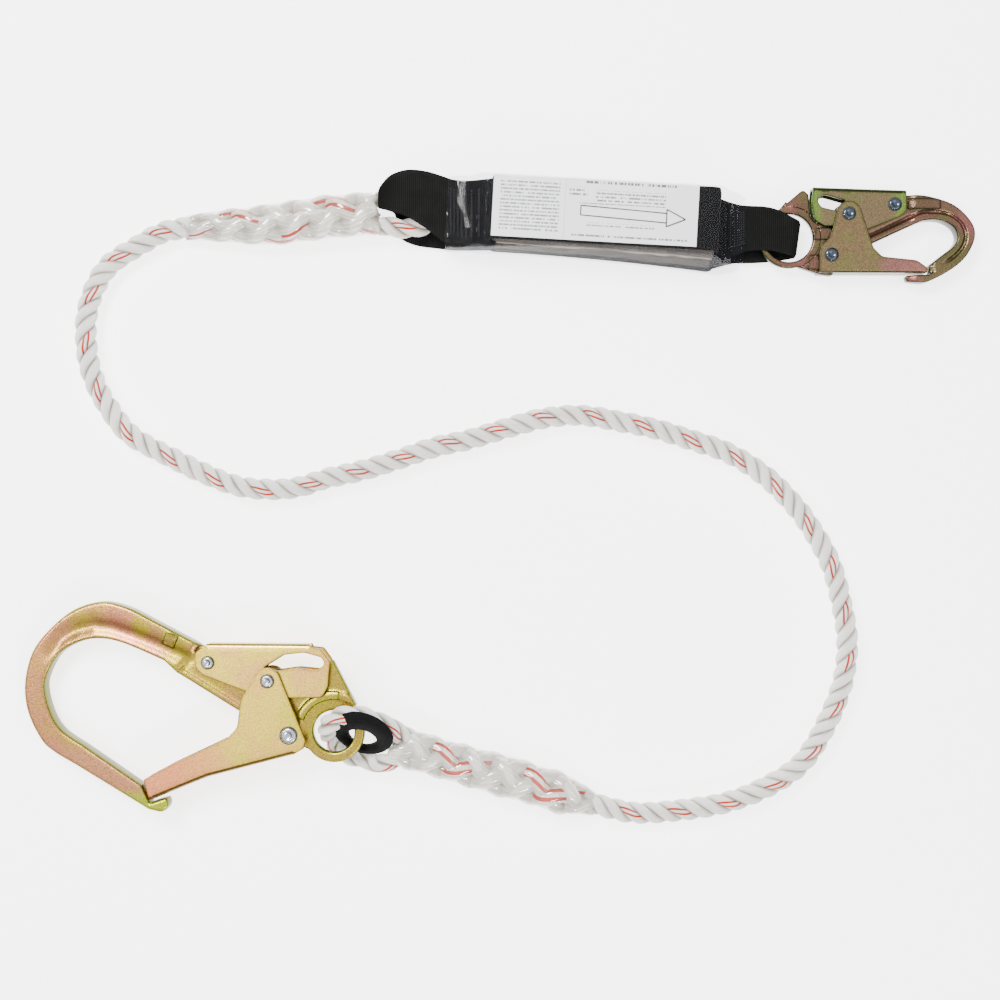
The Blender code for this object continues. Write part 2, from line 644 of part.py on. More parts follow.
def build_anchor_hook(forged, plate, zinc, steel):
    frame = hook_frame("anchor_hook_frame", ANCHOR_RING_AT, ANCHOR_RING, ANCHOR_TILT)
    half = ANCHOR_BODY_T / 2
    body = prism("anchor_body", [ANCHOR_BOW], -ANCHOR_BOW_T / 2, ANCHOR_BOW_T / 2)
    cut(body, prism("shank", [ANCHOR_SHANK], -half, half), "UNION")
    disc = prism("ring_disc", [circle(ANCHOR_RING, ANCHOR_RING_R + ANCHOR_BAR, 36)], -ANCHOR_BAR,
                 ANCHOR_BAR, 1.4)
    cut(body, disc, "UNION")
    drill_ring = prism("ring_hole", [circle(ANCHOR_RING, ANCHOR_RING_R - ANCHOR_BAR, 36)], -20, 20)
    cut(body, drill_ring)
    # The ring's own part of the tail is only as thick as its bar.
    relief = rounded([(22.0, -30.0), (60.0, -30.0), (60.0, 21.5), (44.0, 21.5), (26.0, 19.0), (22.0, 8.0)])
    for low, high in ((ANCHOR_BAR, 20), (-20, -ANCHOR_BAR)):
        cut(body, prism("relief", [relief], low, high))
    drill(body, (0, 0), 3.3)
    drill(body, ANCHOR_LOCK, 2.8)
    drill(body, ANCHOR_LOCK, 7.4, half - 2.6, 20)
    link(body, forged, frame)

    gate_frame = pivot("anchor_gate_axis", (0, 0), frame)
    lever_reach = half + GAP + SHEET
    gate_reach = lever_reach + GAP + SHEET
    outline = rounded([
        (-90.6, -43.2), (-61.6, -31.1), (-52.9, -27.5), (2.6, -12.6), (9.9, -8.2, 1.5), (10.9, -3.0, 3),
        *arc(ANCHOR_PIN, 8.7, 15, 150, 6), (-31.2, 22.0, 8), (-33.4, 4.5, 8), (-40.0, -2.4, 8),
        (-76.1, -19.6),
        (-94.4, -29.4, 1.5)])
    cavity = [(-100.0, -45.2), (-61.6, -29.3), (-52.9, -25.7), (2.2, -10.9), (20.0, -5.0), (30.0, 60.0),
              (-110.0, 60.0)]
    gate = folded_sheet("anchor_gate", outline, cavity, gate_reach)
    drill(gate, (0, 0), 3.3)
    drill(gate, ANCHOR_PIN, PIN_R + 0.35)
    link(gate, plate, gate_frame)

    lock_frame = pivot("anchor_lock_axis", ANCHOR_LOCK, frame)
    lever_outline = rounded([
        (-55.8, 37.6, 6), (-28.3, 27.4, 20), (-0.7, 23.5), (21.1, 23.8, 5), (25.1, 31.2, 4), (26.3, 47.2, 4),
        (20.3, 55.1, 2), (13.6, 55.8), (12.8, 58.0, 1), (-53.5, 58.0, 5), (-61.6, 51.5, 6),
        (-61.0, 42.0, 5)])
    lever_cavity = [(-90.0, 10.0), (60.0, 10.0), (60.0, 70.0), (14.4, 70.0), (14.2, 56.4), (-54.0, 56.4),
                    (-90.0, 56.4)]
    lever = folded_sheet("anchor_lock_lever", lever_outline, lever_cavity, lever_reach)
    path = pin_path(ANCHOR_PIN, ANCHOR_LOCK, ANCHOR_GATE_OPEN + 1.0, ANCHOR_RATIO, -1)
    cut(lever, prism("slot", [slot_outline(path, PIN_R + 0.7)], -20, 20))
    window = rounded([(-8.5, 41.0, 2), (5.1, 42.6, 12), (18.1, 41.6, 4), (23.2, 45.4, 3), (20.6, 49.4, 3),
                      (9.5, 52.8, 12), (-3.6, 51.2, 8), (-13.0, 45.5, 4)])
    cut(lever, prism("window", [window], -20, 20))
    drill(lever, ANCHOR_LOCK, 2.8)
    lever.data.transform(Matrix.Translation((-ANCHOR_LOCK[0] * MM, -ANCHOR_LOCK[1] * MM, 0)))
    link(lever, plate, lock_frame)

    rivet("anchor_gate_rivet", (0, 0), gate_reach, 5.8, 3.0, zinc, frame)
    rivet("anchor_lock_rivet", ANCHOR_LOCK, lever_reach, 4.4, 2.5, zinc, frame)
    rivet("anchor_guide_pin", ANCHOR_PIN, gate_reach, 4.6, PIN_R, zinc, frame)
    spring("anchor_gate_spring", (0, 0), 5.2, 0.6, half + 1.1, 200, 7.0, steel, frame)
    spring("anchor_lock_spring", ANCHOR_LOCK, 4.4, 0.5, half - 1.3, 20, 3.0, steel, frame)


SNAP_BOW = rounded([
    *smooth([(50.1, 38.6), (63.0, 38.6), (79.8, 33.0), (91.0, 22.4), (93.8, 12.9), (89.9, 2.2), (83.1, -5.6),
             (73.1, -12.3)], 2),
    (63.0, -16.8, 4), (50.5, -16.9, 2), (48.0, -13.6), (64.2, -12.2),
    *smooth([(64.2, -6.2), (72.0, 0.0), (78.7, 5.6), (82.0, 11.2), (80.9, 16.8), (74.2, 21.8), (64.2, 22.9),
             (57.4, 21.8)], 2),
    (50.6, 19.2)])

SNAP_SHANK = rounded([
    (60.0, 38.4), (60.0, 24.0), (57.4, 21.8), (27.2, 7.9, 10), (9.0, 5.5, 4), (8.0, -4.0, 5),
    (0.0, -8.2, 4), (-6.0, -12.2),
    (-14.0, -7.0), (-30.0, 26.0), (-33.0, 30.2, 1), (-17.6, 43.1, 3), (-13.9, 40.0, 3), (-12.6, 24.0, 6),
    (2.0, 17.5, 8), (14.0, 17.0, 8), (22.0, 23.0, 8), (30.0, 36.0, 5), (44.0, 40.0), (50.1, 38.6)])


def build_snap_hook(forged, plate, zinc, steel):
    frame = hook_frame("snap_hook_frame", SNAP_RING_AT, SNAP_RING, 0.0)
    half = SNAP_BODY_T / 2
    body = prism("snap_body", [SNAP_BOW], -SNAP_BOW_T / 2, SNAP_BOW_T / 2)
    cut(body, prism("shank", [SNAP_SHANK], -half, half), "UNION")
    disc = prism("ring_disc", [circle(SNAP_RING, SNAP_RING_R + SNAP_BAR, 36)], -2.4, 2.4, 0.9)
    cut(body, disc, "UNION")
    cut(body, prism("ring_hole", [circle(SNAP_RING, SNAP_RING_R - SNAP_BAR, 36)], -20, 20))
    drill(body, (0, 0), 2.9)
    drill(body, SNAP_LOCK, 2.6)
    drill(body, SNAP_LOCK, 4.6, half - 2.2, 20)
    link(body, forged, frame)

    gate_frame = pivot("snap_gate_axis", (0, 0), frame)
    lever_reach = half + GAP + SHEET
    gate_reach = lever_reach + GAP + SHEET
    outline = rounded([
        (-7.9, -11.4), (61.6, -11.6, 1), (62.4, -8.6, 1.5), (55.2, -3.4, 8), (32.8, -1.1, 5), (27.2, 4.5, 4),
        *arc(SNAP_PIN, 8.2, 25, 155, 6), (2.0, 21.3), (-1.4, 11.2, 3), (-6.4, 6.2, 3), (-7.9, 0.0)])
    cavity = [(-20.0, -20.0), (0.5, -20.0), (0.5, -9.8), (59.4, -9.9), (62.9, -9.0), (80.0, 0.0),
              (80.0, 60.0),
              (-20.0, 60.0)]
    gate = folded_sheet("snap_gate", outline, cavity, gate_reach)
    drill(gate, (0, 0), 2.9)
    drill(gate, SNAP_PIN, PIN_R + 0.35)
    link(gate, plate, gate_frame)

    lock_frame = pivot("snap_lock_axis", SNAP_LOCK, frame)
    lever_outline = rounded([
        (-12.5, 33.6), (-10.3, 22.4, 4), (-4.2, 19.0, 3), (6.0, 19.0), (23.9, 16.8), (45.1, 25.2, 4),
        (49.0, 29.1, 3),
        (49.0, 42.4, 1.5), (-11.4, 44.4, 1)])
    lever_cavity = [(-30.0, 0.0), (49.0, 0.0), (80.0, 0.0), (80.0, 40.6), (-30.0, 42.8)]
    lever = folded_sheet("snap_lock_lever", lever_outline, lever_cavity, lever_reach)
    path = pin_path(SNAP_PIN, SNAP_LOCK, SNAP_GATE_OPEN + 1.0, SNAP_RATIO, 1)
    cut(lever, prism("slot", [slot_outline(path, PIN_R + 0.7)], -20, 20))
    window = rounded([(-6.0, 31.1, 3.5), (3.4, 29.0, 6), (11.0, 26.0), (14.0, 33.0), (11.0, 35.2, 8),
                      (-4.2, 39.3, 4),
                      (-9.4, 36.0, 3)])
    cut(lever, prism("window", [window], -20, 20))
    drill(lever, SNAP_LOCK, 2.6)
    lever.data.transform(Matrix.Translation((-SNAP_LOCK[0] * MM, -SNAP_LOCK[1] * MM, 0)))
    link(lever, plate, lock_frame)

    rivet("snap_gate_rivet", (0, 0), gate_reach, 4.6, 2.6, zinc, frame, 1.1)
    rivet("snap_lock_rivet", SNAP_LOCK, lever_reach, 4.5, 2.3, zinc, frame, 1.1)
    rivet("snap_guide_pin", SNAP_PIN, gate_reach, 4.5, PIN_R, zinc, frame, 1.1)
    spring("snap_gate_spring", (0, 0), 4.4, 0.5, half + 1.1, 340, 5.0, steel, frame)
    spring("snap_lock_spring", SNAP_LOCK, 3.4, 0.4, half - 1.1, 200, 1.0, steel, frame)


def build():
    rope_white = material("rope_white", (0.86, 0.85, 0.80), 0.6)
    film = material("shrink_film", (0.85, 0.86, 0.84), 0.15)
    pack_clear = material("pack_film", (0.10, 0.11, 0.14), 0.1)
    black = material("webbing_black", (0.012, 0.012, 0.014), 0.8)
    moulded = material("thimble_black", (0.02, 0.02, 0.02), 0.5)
    grey = material("tear_webbing_grey", (0.42, 0.39, 0.37), 0.8)
    white = material("label_white", (0.88, 0.88, 0.90), 0.5)
    thread = material("stitching_black", (0.03, 0.03, 0.03), 0.7)
    anchor_forged = material("anchor_zinc_gold", (0.62, 0.44, 0.26), 0.35, 0.9)
    anchor_plate = material("anchor_plate_gold", (0.72, 0.58, 0.30), 0.35, 0.9)
    snap_forged = material("snap_zinc_olive", (0.40, 0.33, 0.24), 0.35, 0.9)
    snap_plate = material("snap_plate_olive", (0.45, 0.38, 0.24), 0.35, 0.9)
    zinc = material("rivet_zinc", (0.72, 0.73, 0.76), 0.3, 1.0)
    steel = material("spring_steel", (0.55, 0.55, 0.56), 0.3, 1.0)

    build_rope(rope_white)
    build_splice("upper", UPPER_SPLICE, UPPER_SPLICE_R, [0] * 6, rope_white, film)
    build_splice("lower", LOWER_SPLICE, LOWER_SPLICE_R, LOWER_SPLICE_RISE, rope_white, film)
    build_eyes(rope_white)
    build_thimble(moulded)
    build_pack(black, grey, white, pack_clear)
    build_loop("rope_side_loop", ROPE_LOOP_UPPER, ROPE_LOOP_LOWER, black)
    build_loop("hook_side_loop", HOOK_LOOP_UPPER, HOOK_LOOP_LOWER, black)
    build_stitching("rope_side_stitching", ROPE_LOOP_UPPER, ROPE_LOOP_LOWER, 1, 5, thread)
    build_stitching("hook_side_stitching", HOOK_LOOP_UPPER, HOOK_LOOP_LOWER, 1, 4, thread)
    build_anchor_hook(anchor_forged, anchor_plate, zinc, steel)
    build_snap_hook(snap_forged, snap_plate, zinc, steel)


build()
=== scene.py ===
"""Looks of the shock absorbing lanyard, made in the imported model's frame.

Lengths are millimetres until a mesh is made, apart from those of the camera, lights and materials."""
import math

import bmesh
import bpy
import numpy as np
from mathutils import Matrix, Vector
from mathutils.geometry import delaunay_2d_cdt


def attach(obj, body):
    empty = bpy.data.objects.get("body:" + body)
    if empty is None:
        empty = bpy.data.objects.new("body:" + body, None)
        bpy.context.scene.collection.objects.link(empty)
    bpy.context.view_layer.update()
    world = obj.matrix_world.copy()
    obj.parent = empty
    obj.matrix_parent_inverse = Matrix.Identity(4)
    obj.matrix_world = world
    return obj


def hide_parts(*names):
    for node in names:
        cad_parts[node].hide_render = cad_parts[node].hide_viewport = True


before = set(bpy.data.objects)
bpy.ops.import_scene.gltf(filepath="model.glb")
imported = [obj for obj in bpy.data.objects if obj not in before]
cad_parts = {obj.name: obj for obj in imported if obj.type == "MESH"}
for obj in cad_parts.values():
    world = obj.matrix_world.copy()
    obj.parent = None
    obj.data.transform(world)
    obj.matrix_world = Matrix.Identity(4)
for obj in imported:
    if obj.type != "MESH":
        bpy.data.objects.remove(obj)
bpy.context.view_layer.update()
MM = 0.001
SCENE = bpy.context.scene


# ---------------------------------------------------------------- camera, floor and light

def build_camera():
    data = bpy.data.cameras.new("camera")
    data.lens = 50
    data.sensor_width = 36
    data.clip_end = 20
    camera = bpy.data.objects.new("camera", data)
    camera.location = (0, -0.00455, 0.913)
    SCENE.collection.objects.link(camera)
    SCENE.camera = camera


def area_light(name, at, size, power):
    """A rectangular light that faces the origin."""
    data = bpy.data.lights.new(name, "AREA")
    data.shape = "RECTANGLE"
    data.size, data.size_y = size
    data.energy = power
    light = bpy.data.objects.new(name, data)
    light.location = at
    light.rotation_euler = Vector(at).to_track_quat("Z", "Y").to_euler()
    SCENE.collection.objects.link(light)


FLOOR_HALF, FLOOR_Z = 12.0, -0.0004
HORIZON_LIGHT, ZENITH_GAIN = 0.12, 1.75


def build_stage():
    """White floor under a sky that is dim at the horizon and bright overhead."""
    world = bpy.data.worlds.new("studio")
    world.use_nodes = True
    tree = world.node_tree
    up = parts_of(tree, node(tree, "ShaderNodeTexCoord").outputs["Generated"])[2]
    tree.nodes["Background"].inputs["Color"].default_value = (1, 1, 1, 1)
    strength = plus(tree, HORIZON_LIGHT, times(tree, stepped(tree, up, 0.25, 0.95), ZENITH_GAIN))
    tree.links.new(strength, tree.nodes["Background"].inputs["Strength"])
    SCENE.world = world
    mesh = bpy.data.meshes.new("floor")
    corners = [(x * FLOOR_HALF, y * FLOOR_HALF, FLOOR_Z) for x, y in ((-1, -1), (1, -1), (1, 1), (-1, 1))]
    mesh.from_pydata(corners, [], [(0, 1, 2, 3)])
    floor = bpy.data.objects.new("floor", mesh)
    SCENE.collection.objects.link(floor)
    mesh.materials.append(simple("floor_white", (0.97, 0.97, 0.97), 0.9, spec=0.0, glow=3.0))
    area_light("key", (-0.7, 0.9, 1.5), (0.6, 0.6), 50)
    area_light("fill", (1.1, -0.5, 1.3), (1.0, 1.0), 7)
    area_light("left_strip", (-1.0, 0.1, 1.2), (0.025, 0.4), 9)
    area_light("near_strip", (0.3, -1.0, 0.9), (0.5, 0.025), 8)


# ---------------------------------------------------------------- materials

def principled(name):
    mat = bpy.data.materials.new(name)
    mat.use_nodes = True
    return mat, mat.node_tree, mat.node_tree.nodes["Principled BSDF"]


def node(tree, kind, **values):
    made = tree.nodes.new(kind)
    for key, value in values.items():
        setattr(made, key, value)
    return made


def adjust(made, **values):
    """Constant values on a node's sockets, with _ for each space in a socket's name."""
    for key, value in values.items():
        made.inputs[key.replace("_", " ")].default_value = value


def parts_of(tree, vector):
    made = node(tree, "ShaderNodeSeparateXYZ")
    tree.links.new(vector, made.inputs[0])
    return made.outputs


def place_of(tree):
    return node(tree, "ShaderNodeTexCoord").outputs["Object"]


def yarn_uv(tree):
    return node(tree, "ShaderNodeUVMap", uv_map="yarn").outputs["UV"]


def attribute(tree, name):
    return node(tree, "ShaderNodeAttribute", attribute_name=name).outputs["Fac"]


def maths(tree, operation, a, b=0.0, clamp=False):
    made = tree.nodes.new("ShaderNodeMath")
    made.operation = operation
    made.use_clamp = clamp
    for socket, value in zip(made.inputs, (a, b)):
        if isinstance(value, (int, float)):
            socket.default_value = value
        else:
            tree.links.new(value, socket)
    return made.outputs[0]


def plus(tree, a, b):
    return maths(tree, "ADD", a, b)


def minus(tree, a, b):
    return maths(tree, "SUBTRACT", a, b)


def times(tree, a, b):
    return maths(tree, "MULTIPLY", a, b)


def stepped(tree, value, low, high):
    """0 below low and 1 above high, smooth between."""
    made = tree.nodes.new("ShaderNodeMapRange")
    made.interpolation_type = "SMOOTHSTEP"
    tree.links.new(value, made.inputs["Value"])
    adjust(made, From_Min=low, From_Max=high)
    return made.outputs["Result"]


def blended(tree, factor, a, b):
    made = tree.nodes.new("ShaderNodeMix")
    made.data_type = "RGBA"
    if isinstance(factor, (int, float)):
        made.inputs[0].default_value = factor
    else:
        tree.links.new(factor, made.inputs[0])
    for socket, value in ((made.inputs[6], a), (made.inputs[7], b)):
        if isinstance(value, tuple):
            socket.default_value = (*value, 1)
        else:
            tree.links.new(value, socket)
    return made.outputs[2]


def noise_of(tree, scale, detail=2.0, where=None, rough=0.5):
    made = node(tree, "ShaderNodeTexNoise")
    adjust(made, Scale=scale, Detail=detail, Roughness=rough)
    tree.links.new(where or place_of(tree), made.inputs["Vector"])
    return made.outputs["Fac"]


def bump(tree, shader, height, distance, strength):
    made = node(tree, "ShaderNodeBump")
    adjust(made, Distance=distance, Strength=strength)
    tree.links.new(height, made.inputs["Height"])
    tree.links.new(made.outputs["Normal"], shader.inputs["Normal"])


def simple(name, colour, roughness, spec=0.5, glow=0.0, metallic=0.0):
    mat, tree, shader = principled(name)
    adjust(shader, Base_Color=(*colour, 1), Roughness=roughness, Specular_IOR_Level=spec, Metallic=metallic)
    if glow:
        adjust(shader, Emission_Color=(1, 1, 1, 1), Emission_Strength=glow)
    return mat


def plated(name, main, second, third, edge_tint, roughness, patch, grain, mottle=0.8, bands=()):
    """Yellow-chromate zinc: the main colour drifts to a second and a third, with a tinted rim along its edges and
    a near-black line of painted shade right at them.

    bands are (axis, where it starts, where it is full, colour, strength), in metres."""
    mat, tree, shader = principled(name)
    drift = noise_of(tree, patch, 1.0)
    colour = blended(tree, stepped(tree, drift, 0.42, 0.64), main, second)
    shifted = node(tree, "ShaderNodeMapping")
    shifted.inputs["Location"].default_value = (3.7, 1.9, 0.0)
    tree.links.new(place_of(tree), shifted.inputs["Vector"])
    other = noise_of(tree, patch * 1.8, 1.0, shifted.outputs["Vector"])
    colour = blended(tree, times(tree, stepped(tree, other, 0.48, 0.62), mottle), colour, third)
    place = parts_of(tree, place_of(tree))
    for axis, start, full, tint, strength in bands:
        reached = stepped(tree, place[axis], min(start, full), max(start, full))
        if full < start:
            reached = minus(tree, 1.0, reached)
        colour = blended(tree, times(tree, reached, strength), colour, tint)
    edge = attribute(tree, "edge")
    rim = minus(tree, 1.0, stepped(tree, edge, 0.3, 2.0))
    colour = blended(tree, times(tree, rim, 0.5), colour, edge_tint)
    # Painted shade: a near-black line right along outlines, pad outlines and fold bands.
    line = minus(tree, 1.0, stepped(tree, edge, 0.1, 0.75))
    colour = blended(tree, times(tree, line, 0.92), colour, tuple(c * 0.2 for c in edge_tint))
    speck = noise_of(tree, 1100.0, 3.0, rough=0.7)
    shade = plus(tree, 1.0 - grain * 1.6, times(tree, stepped(tree, speck, 0.3, 0.7), grain * 3))
    scaled = node(tree, "ShaderNodeVectorMath", operation="SCALE")
    tree.links.new(colour, scaled.inputs[0])
    tree.links.new(shade, scaled.inputs["Scale"])
    tree.links.new(scaled.outputs[0], shader.inputs["Base Color"])
    adjust(shader, Metallic=0.88)
    tree.links.new(plus(tree, roughness - 0.06, times(tree, speck, 0.12)),
                   shader.inputs["Roughness"])
    bump(tree, shader, noise_of(tree, 900.0, 3.0), 0.00012, 0.8)
    return mat


YARNS = 15
TRACER_RED = (0.50, 0.028, 0.003)
TRACER_WIDTH = 0.072


def rope_fibre(name, tracer, wet=0.0):
    """Twisted white yarns, with painted shade in the grooves between strands. UV x turns once round a strand,
    following its yarns; UV y runs along it.

    tracer gives where each red yarn starts, in turns, and wet is the weight of a glossy coat."""
    mat, tree, shader = principled(name)
    uv = yarn_uv(tree)
    round_strand = parts_of(tree, uv)[0]
    turn = maths(tree, "FRACT", round_strand)
    yarns = maths(tree, "SINE", times(tree, round_strand, math.pi * 2 * YARNS))
    stretched = node(tree, "ShaderNodeMapping")
    stretched.inputs["Scale"].default_value = (60.0, 3.0, 1.0)
    tree.links.new(uv, stretched.inputs["Vector"])
    fuzz = noise_of(tree, 3.0, 3.0, stretched.outputs["Vector"])
    broad = noise_of(tree, 260.0, 2.0)
    # Painted shade: yarns facing into the grooves between strands are darkened, while the crown keeps its own
    # colour.
    groove = stepped(tree, attribute(tree, "outward"), -0.25, 0.85)
    crown = (0.96 - 0.16 * wet, 0.94 - 0.19 * wet, 0.88 - 0.22 * wet)
    colour = blended(tree, groove, (0.34, 0.30, 0.24), crown)
    shadow = times(tree, stepped(tree, fuzz, 0.50, 0.72), 0.30)
    colour = blended(tree, shadow, colour, (0.50, 0.46, 0.38))
    for start in tracer:
        end = start + TRACER_WIDTH
        band = times(tree, stepped(tree, turn, start, start + 0.01),
                     minus(tree, 1.0, stepped(tree, turn, end, end + 0.012)))
        ragged = stepped(tree, fuzz, 0.22, 0.34)
        colour = blended(tree, times(tree, band, ragged), colour, TRACER_RED)
    tree.links.new(colour, shader.inputs["Base Color"])
    adjust(shader, Roughness=0.6, Specular_IOR_Level=0.3, Sheen_Weight=0.15, Coat_Weight=wet,
           Coat_Roughness=0.10, Coat_IOR=1.9)
    height = plus(tree, times(tree, yarns, 0.5), times(tree, fuzz, 1.2))
    height = plus(tree, height, times(tree, broad, 0.8))
    bump(tree, shader, height, 0.00055, 0.9)
    return mat


RIBS = 60.0


def woven(name, colour, lighter, roughness, selvage=None):
    """Flat woven webbing. UV x crosses it once, UV y runs along it in webbing widths.

    selvage is the colour of the edges of stacked plies, where the "ply" attribute nears 1; right at the seams
    where they meet, a broken near-black line is painted shade."""
    mat, tree, shader = principled(name)
    uv = parts_of(tree, yarn_uv(tree))
    across = times(tree, uv[0], RIBS)
    along = times(tree, uv[1], RIBS * 0.55)
    one = maths(tree, "SINE", times(tree, plus(tree, across, along), math.pi))
    two = maths(tree, "SINE", times(tree, minus(tree, across, along), math.pi))
    weave = times(tree, one, two)
    worn = noise_of(tree, 90.0, 3.0)
    colour = blended(tree, stepped(tree, plus(tree, weave, times(tree, worn, 1.2)), 0.4, 1.5),
                     colour, lighter)
    if selvage:
        ply = attribute(tree, "ply")
        ragged = plus(tree, ply, times(tree, minus(tree, worn, 0.5), 0.5))
        colour = blended(tree, stepped(tree, ragged, 0.80, 0.90), colour, selvage)
        # Painted shade: a broken near-black line right at the seams where the plies' rounded edges meet.
        colour = blended(tree, stepped(tree, ragged, 1.02, 1.08), colour, (0.01, 0.008, 0.006))
    tree.links.new(colour, shader.inputs["Base Color"])
    adjust(shader, Roughness=roughness, Specular_IOR_Level=0.06)
    bump(tree, shader, plus(tree, weave, times(tree, worn, 0.7)), 0.00018, 0.7)
    return mat


def clear_film(name, tint, body, roughness, scale):
    """Thin clear film with glossy crinkled reflections. body is how much of it shows face on."""
    mat, tree, shader = principled(name)
    adjust(shader, Base_Color=(*tint, 1), Roughness=roughness, Specular_IOR_Level=0.9, Coat_Weight=0.35,
           Coat_Roughness=0.05)
    facing = node(tree, "ShaderNodeLayerWeight")
    adjust(facing, Blend=0.35)
    crinkle = noise_of(tree, scale, 2.0)
    alpha = maths(tree, "ADD", body, times(tree, facing.outputs["Facing"], 0.14), clamp=True)
    tree.links.new(alpha, shader.inputs["Alpha"])
    bump(tree, shader, crinkle, 0.0022, 0.6)
    return mat


def printed_label(name):
    """White label with illegible grey print: broken bars in rows, in two blocks."""
    mat, tree, shader = principled(name)
    uv = parts_of(tree, yarn_uv(tree))
    u, v = uv[0], uv[1]

    def rows(count, low, high, left, right, share, chop, strength):
        line = times(tree, v, count)
        ink = maths(tree, "LESS_THAN", maths(tree, "FRACT", line), share)
        cell = node(tree, "ShaderNodeCombineXYZ")
        tree.links.new(times(tree, u, chop), cell.inputs[0])
        tree.links.new(times(tree, maths(tree, "FLOOR", line), 7.3), cell.inputs[1])
        broken = stepped(tree, noise_of(tree, 1.0, 0.0, cell.outputs[0]), 0.40, 0.46)
        made = times(tree, ink, broken)
        for value, edge, operation in ((u, left, "GREATER_THAN"), (u, right, "LESS_THAN"),
                                       (v, low, "GREATER_THAN"), (v, high, "LESS_THAN")):
            made = times(tree, made, maths(tree, operation, value, edge))
        return times(tree, made, strength)

    ink = rows(17.0, 0.10, 0.93, 0.035, 0.325, 0.5, 170.0, 0.75)
    for block in ((17.0, 0.65, 0.83, 0.50, 0.84, 0.5, 170.0, 0.8), (17.0, 0.60, 0.65, 0.42, 0.84, 0.5, 170.0, 0.8),
                  (15.0, 0.93, 0.975, 0.45, 0.89, 0.75, 110.0, 0.9),
                  (15.0, 0.73, 0.87, 0.365, 0.46, 0.5, 150.0, 0.8),
                  (17.0, 0.24, 0.30, 0.46, 0.80, 0.5, 170.0, 0.8),
                  (15.0, 0.07, 0.13, 0.37, 0.96, 0.5, 170.0, 0.85)):
        ink = maths(tree, "MAXIMUM", ink, rows(*block))
    # Painted shade: a faint grey line down the label where it creases.
    from_fold = maths(tree, "ABSOLUTE", minus(tree, u, 0.352))
    fold = times(tree, maths(tree, "LESS_THAN", from_fold, 0.002), 0.25)
    ink = maths(tree, "MAXIMUM", ink, fold)
    colour = blended(tree, ink, (0.96, 0.96, 0.98), (0.03, 0.03, 0.035))
    tree.links.new(colour, shader.inputs["Base Color"])
    adjust(shader, Roughness=0.45)
    bump(tree, shader, noise_of(tree, 40.0, 2.0), 0.0004, 0.4)
    return mat


# ---------------------------------------------------------------- geometry helpers

def smooth(points, steps, closed=False):
    """Catmull-Rom curve through the points, of any dimension."""
    p = [np.array(q, float) for q in points]
    n = len(p)
    made = []
    for i in range(n if closed else n - 1):
        a, b = p[i - 1 if closed or i else 0], p[i]
        c = p[(i + 1) % n]
        d = p[(i + 2) % n] if closed or i + 2 < n else p[-1]
        for k in range(steps):
            t = k / steps
            made.append(0.5 * (2 * b + (c - a) * t + (2 * a - 5 * b + 4 * c - d) * t * t
                               + (3 * b - a - 3 * c + d) * t ** 3))
    return np.array(made if closed else [*made, p[-1]])


def curve(*points):
    return [tuple(p) for p in smooth(points, 7)]


def unit(rows):
    return rows / np.linalg.norm(rows, axis=1)[:, None]


def steps_of(points):
    return np.linalg.norm(np.diff(points, axis=0), axis=1)


def distance_along(points):
    return np.concatenate([[0], np.cumsum(steps_of(points))])


def spaced(points, step):
    """The same line as even steps of about the given length."""
    p = np.array(points, float)
    along = distance_along(p)
    at = np.linspace(0, along[-1], max(2, round(along[-1] / step) + 1))
    return np.stack([np.interp(at, along, p[:, k]) for k in range(p.shape[1])], axis=1)


def arc(centre, radius, start, end, steps=8):
    angles = [math.radians(start + (end - start) * i / steps) for i in range(steps + 1)]
    return [(centre[0] + radius * math.cos(a), centre[1] + radius * math.sin(a)) for a in angles]


def circle(centre, radius, steps=48):
    return arc(centre, radius, 0, 360, steps)[:-1]


def rounded(corners, steps=6):
    """A closed outline from (x, y) or (x, y, fillet radius) corners."""
    made = []
    count = len(corners)
    for i, corner in enumerate(corners):
        here = Vector(corner[:2])
        if len(corner) == 2:
            made.append(tuple(here))
            continue
        back = (Vector(corners[i - 1][:2]) - here).normalized()
        ahead = (Vector(corners[(i + 1) % count][:2]) - here).normalized()
        half = back.angle(ahead) / 2
        middle = here + (back + ahead).normalized() * corner[2] / math.sin(half)
        first = here + back * corner[2] / math.tan(half) - middle
        last = here + ahead * corner[2] / math.tan(half) - middle
        turn = first.angle_signed(last)
        for k in range(steps + 1):
            made.append(tuple(middle + Matrix.Rotation(-turn * k / steps, 2) @ first))
    return made


def ramp(value, low, high):
    """0 at low and 1 at high, smooth between; low may be the greater."""
    t = np.clip((value - low) / (high - low), 0, 1)
    return t * t * (3 - 2 * t)


def frames(points):
    """Tangents and two side vectors carried along the line without twist."""
    t = unit(np.gradient(points, axis=0))
    side = np.cross(t[0], (0, 0, 1.0))
    side /= np.linalg.norm(side)
    one = [side]
    for i in range(1, len(t)):
        side = one[-1] - t[i] * np.dot(one[-1], t[i])
        one.append(side / np.linalg.norm(side))
    one = np.array(one)
    return t, one, np.cross(t, one)


def stands_for(obj, node_name):
    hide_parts(node_name)


def turned_outward(obj, merge=0.0):
    """Points every face outward, after merging points that lie closer than merge, in metres."""
    bm = bmesh.new()
    bm.from_mesh(obj.data)
    if merge:
        bmesh.ops.remove_doubles(bm, verts=bm.verts, dist=merge)
    bmesh.ops.recalc_face_normals(bm, faces=bm.faces)
    bm.to_mesh(obj.data)
    bm.free()


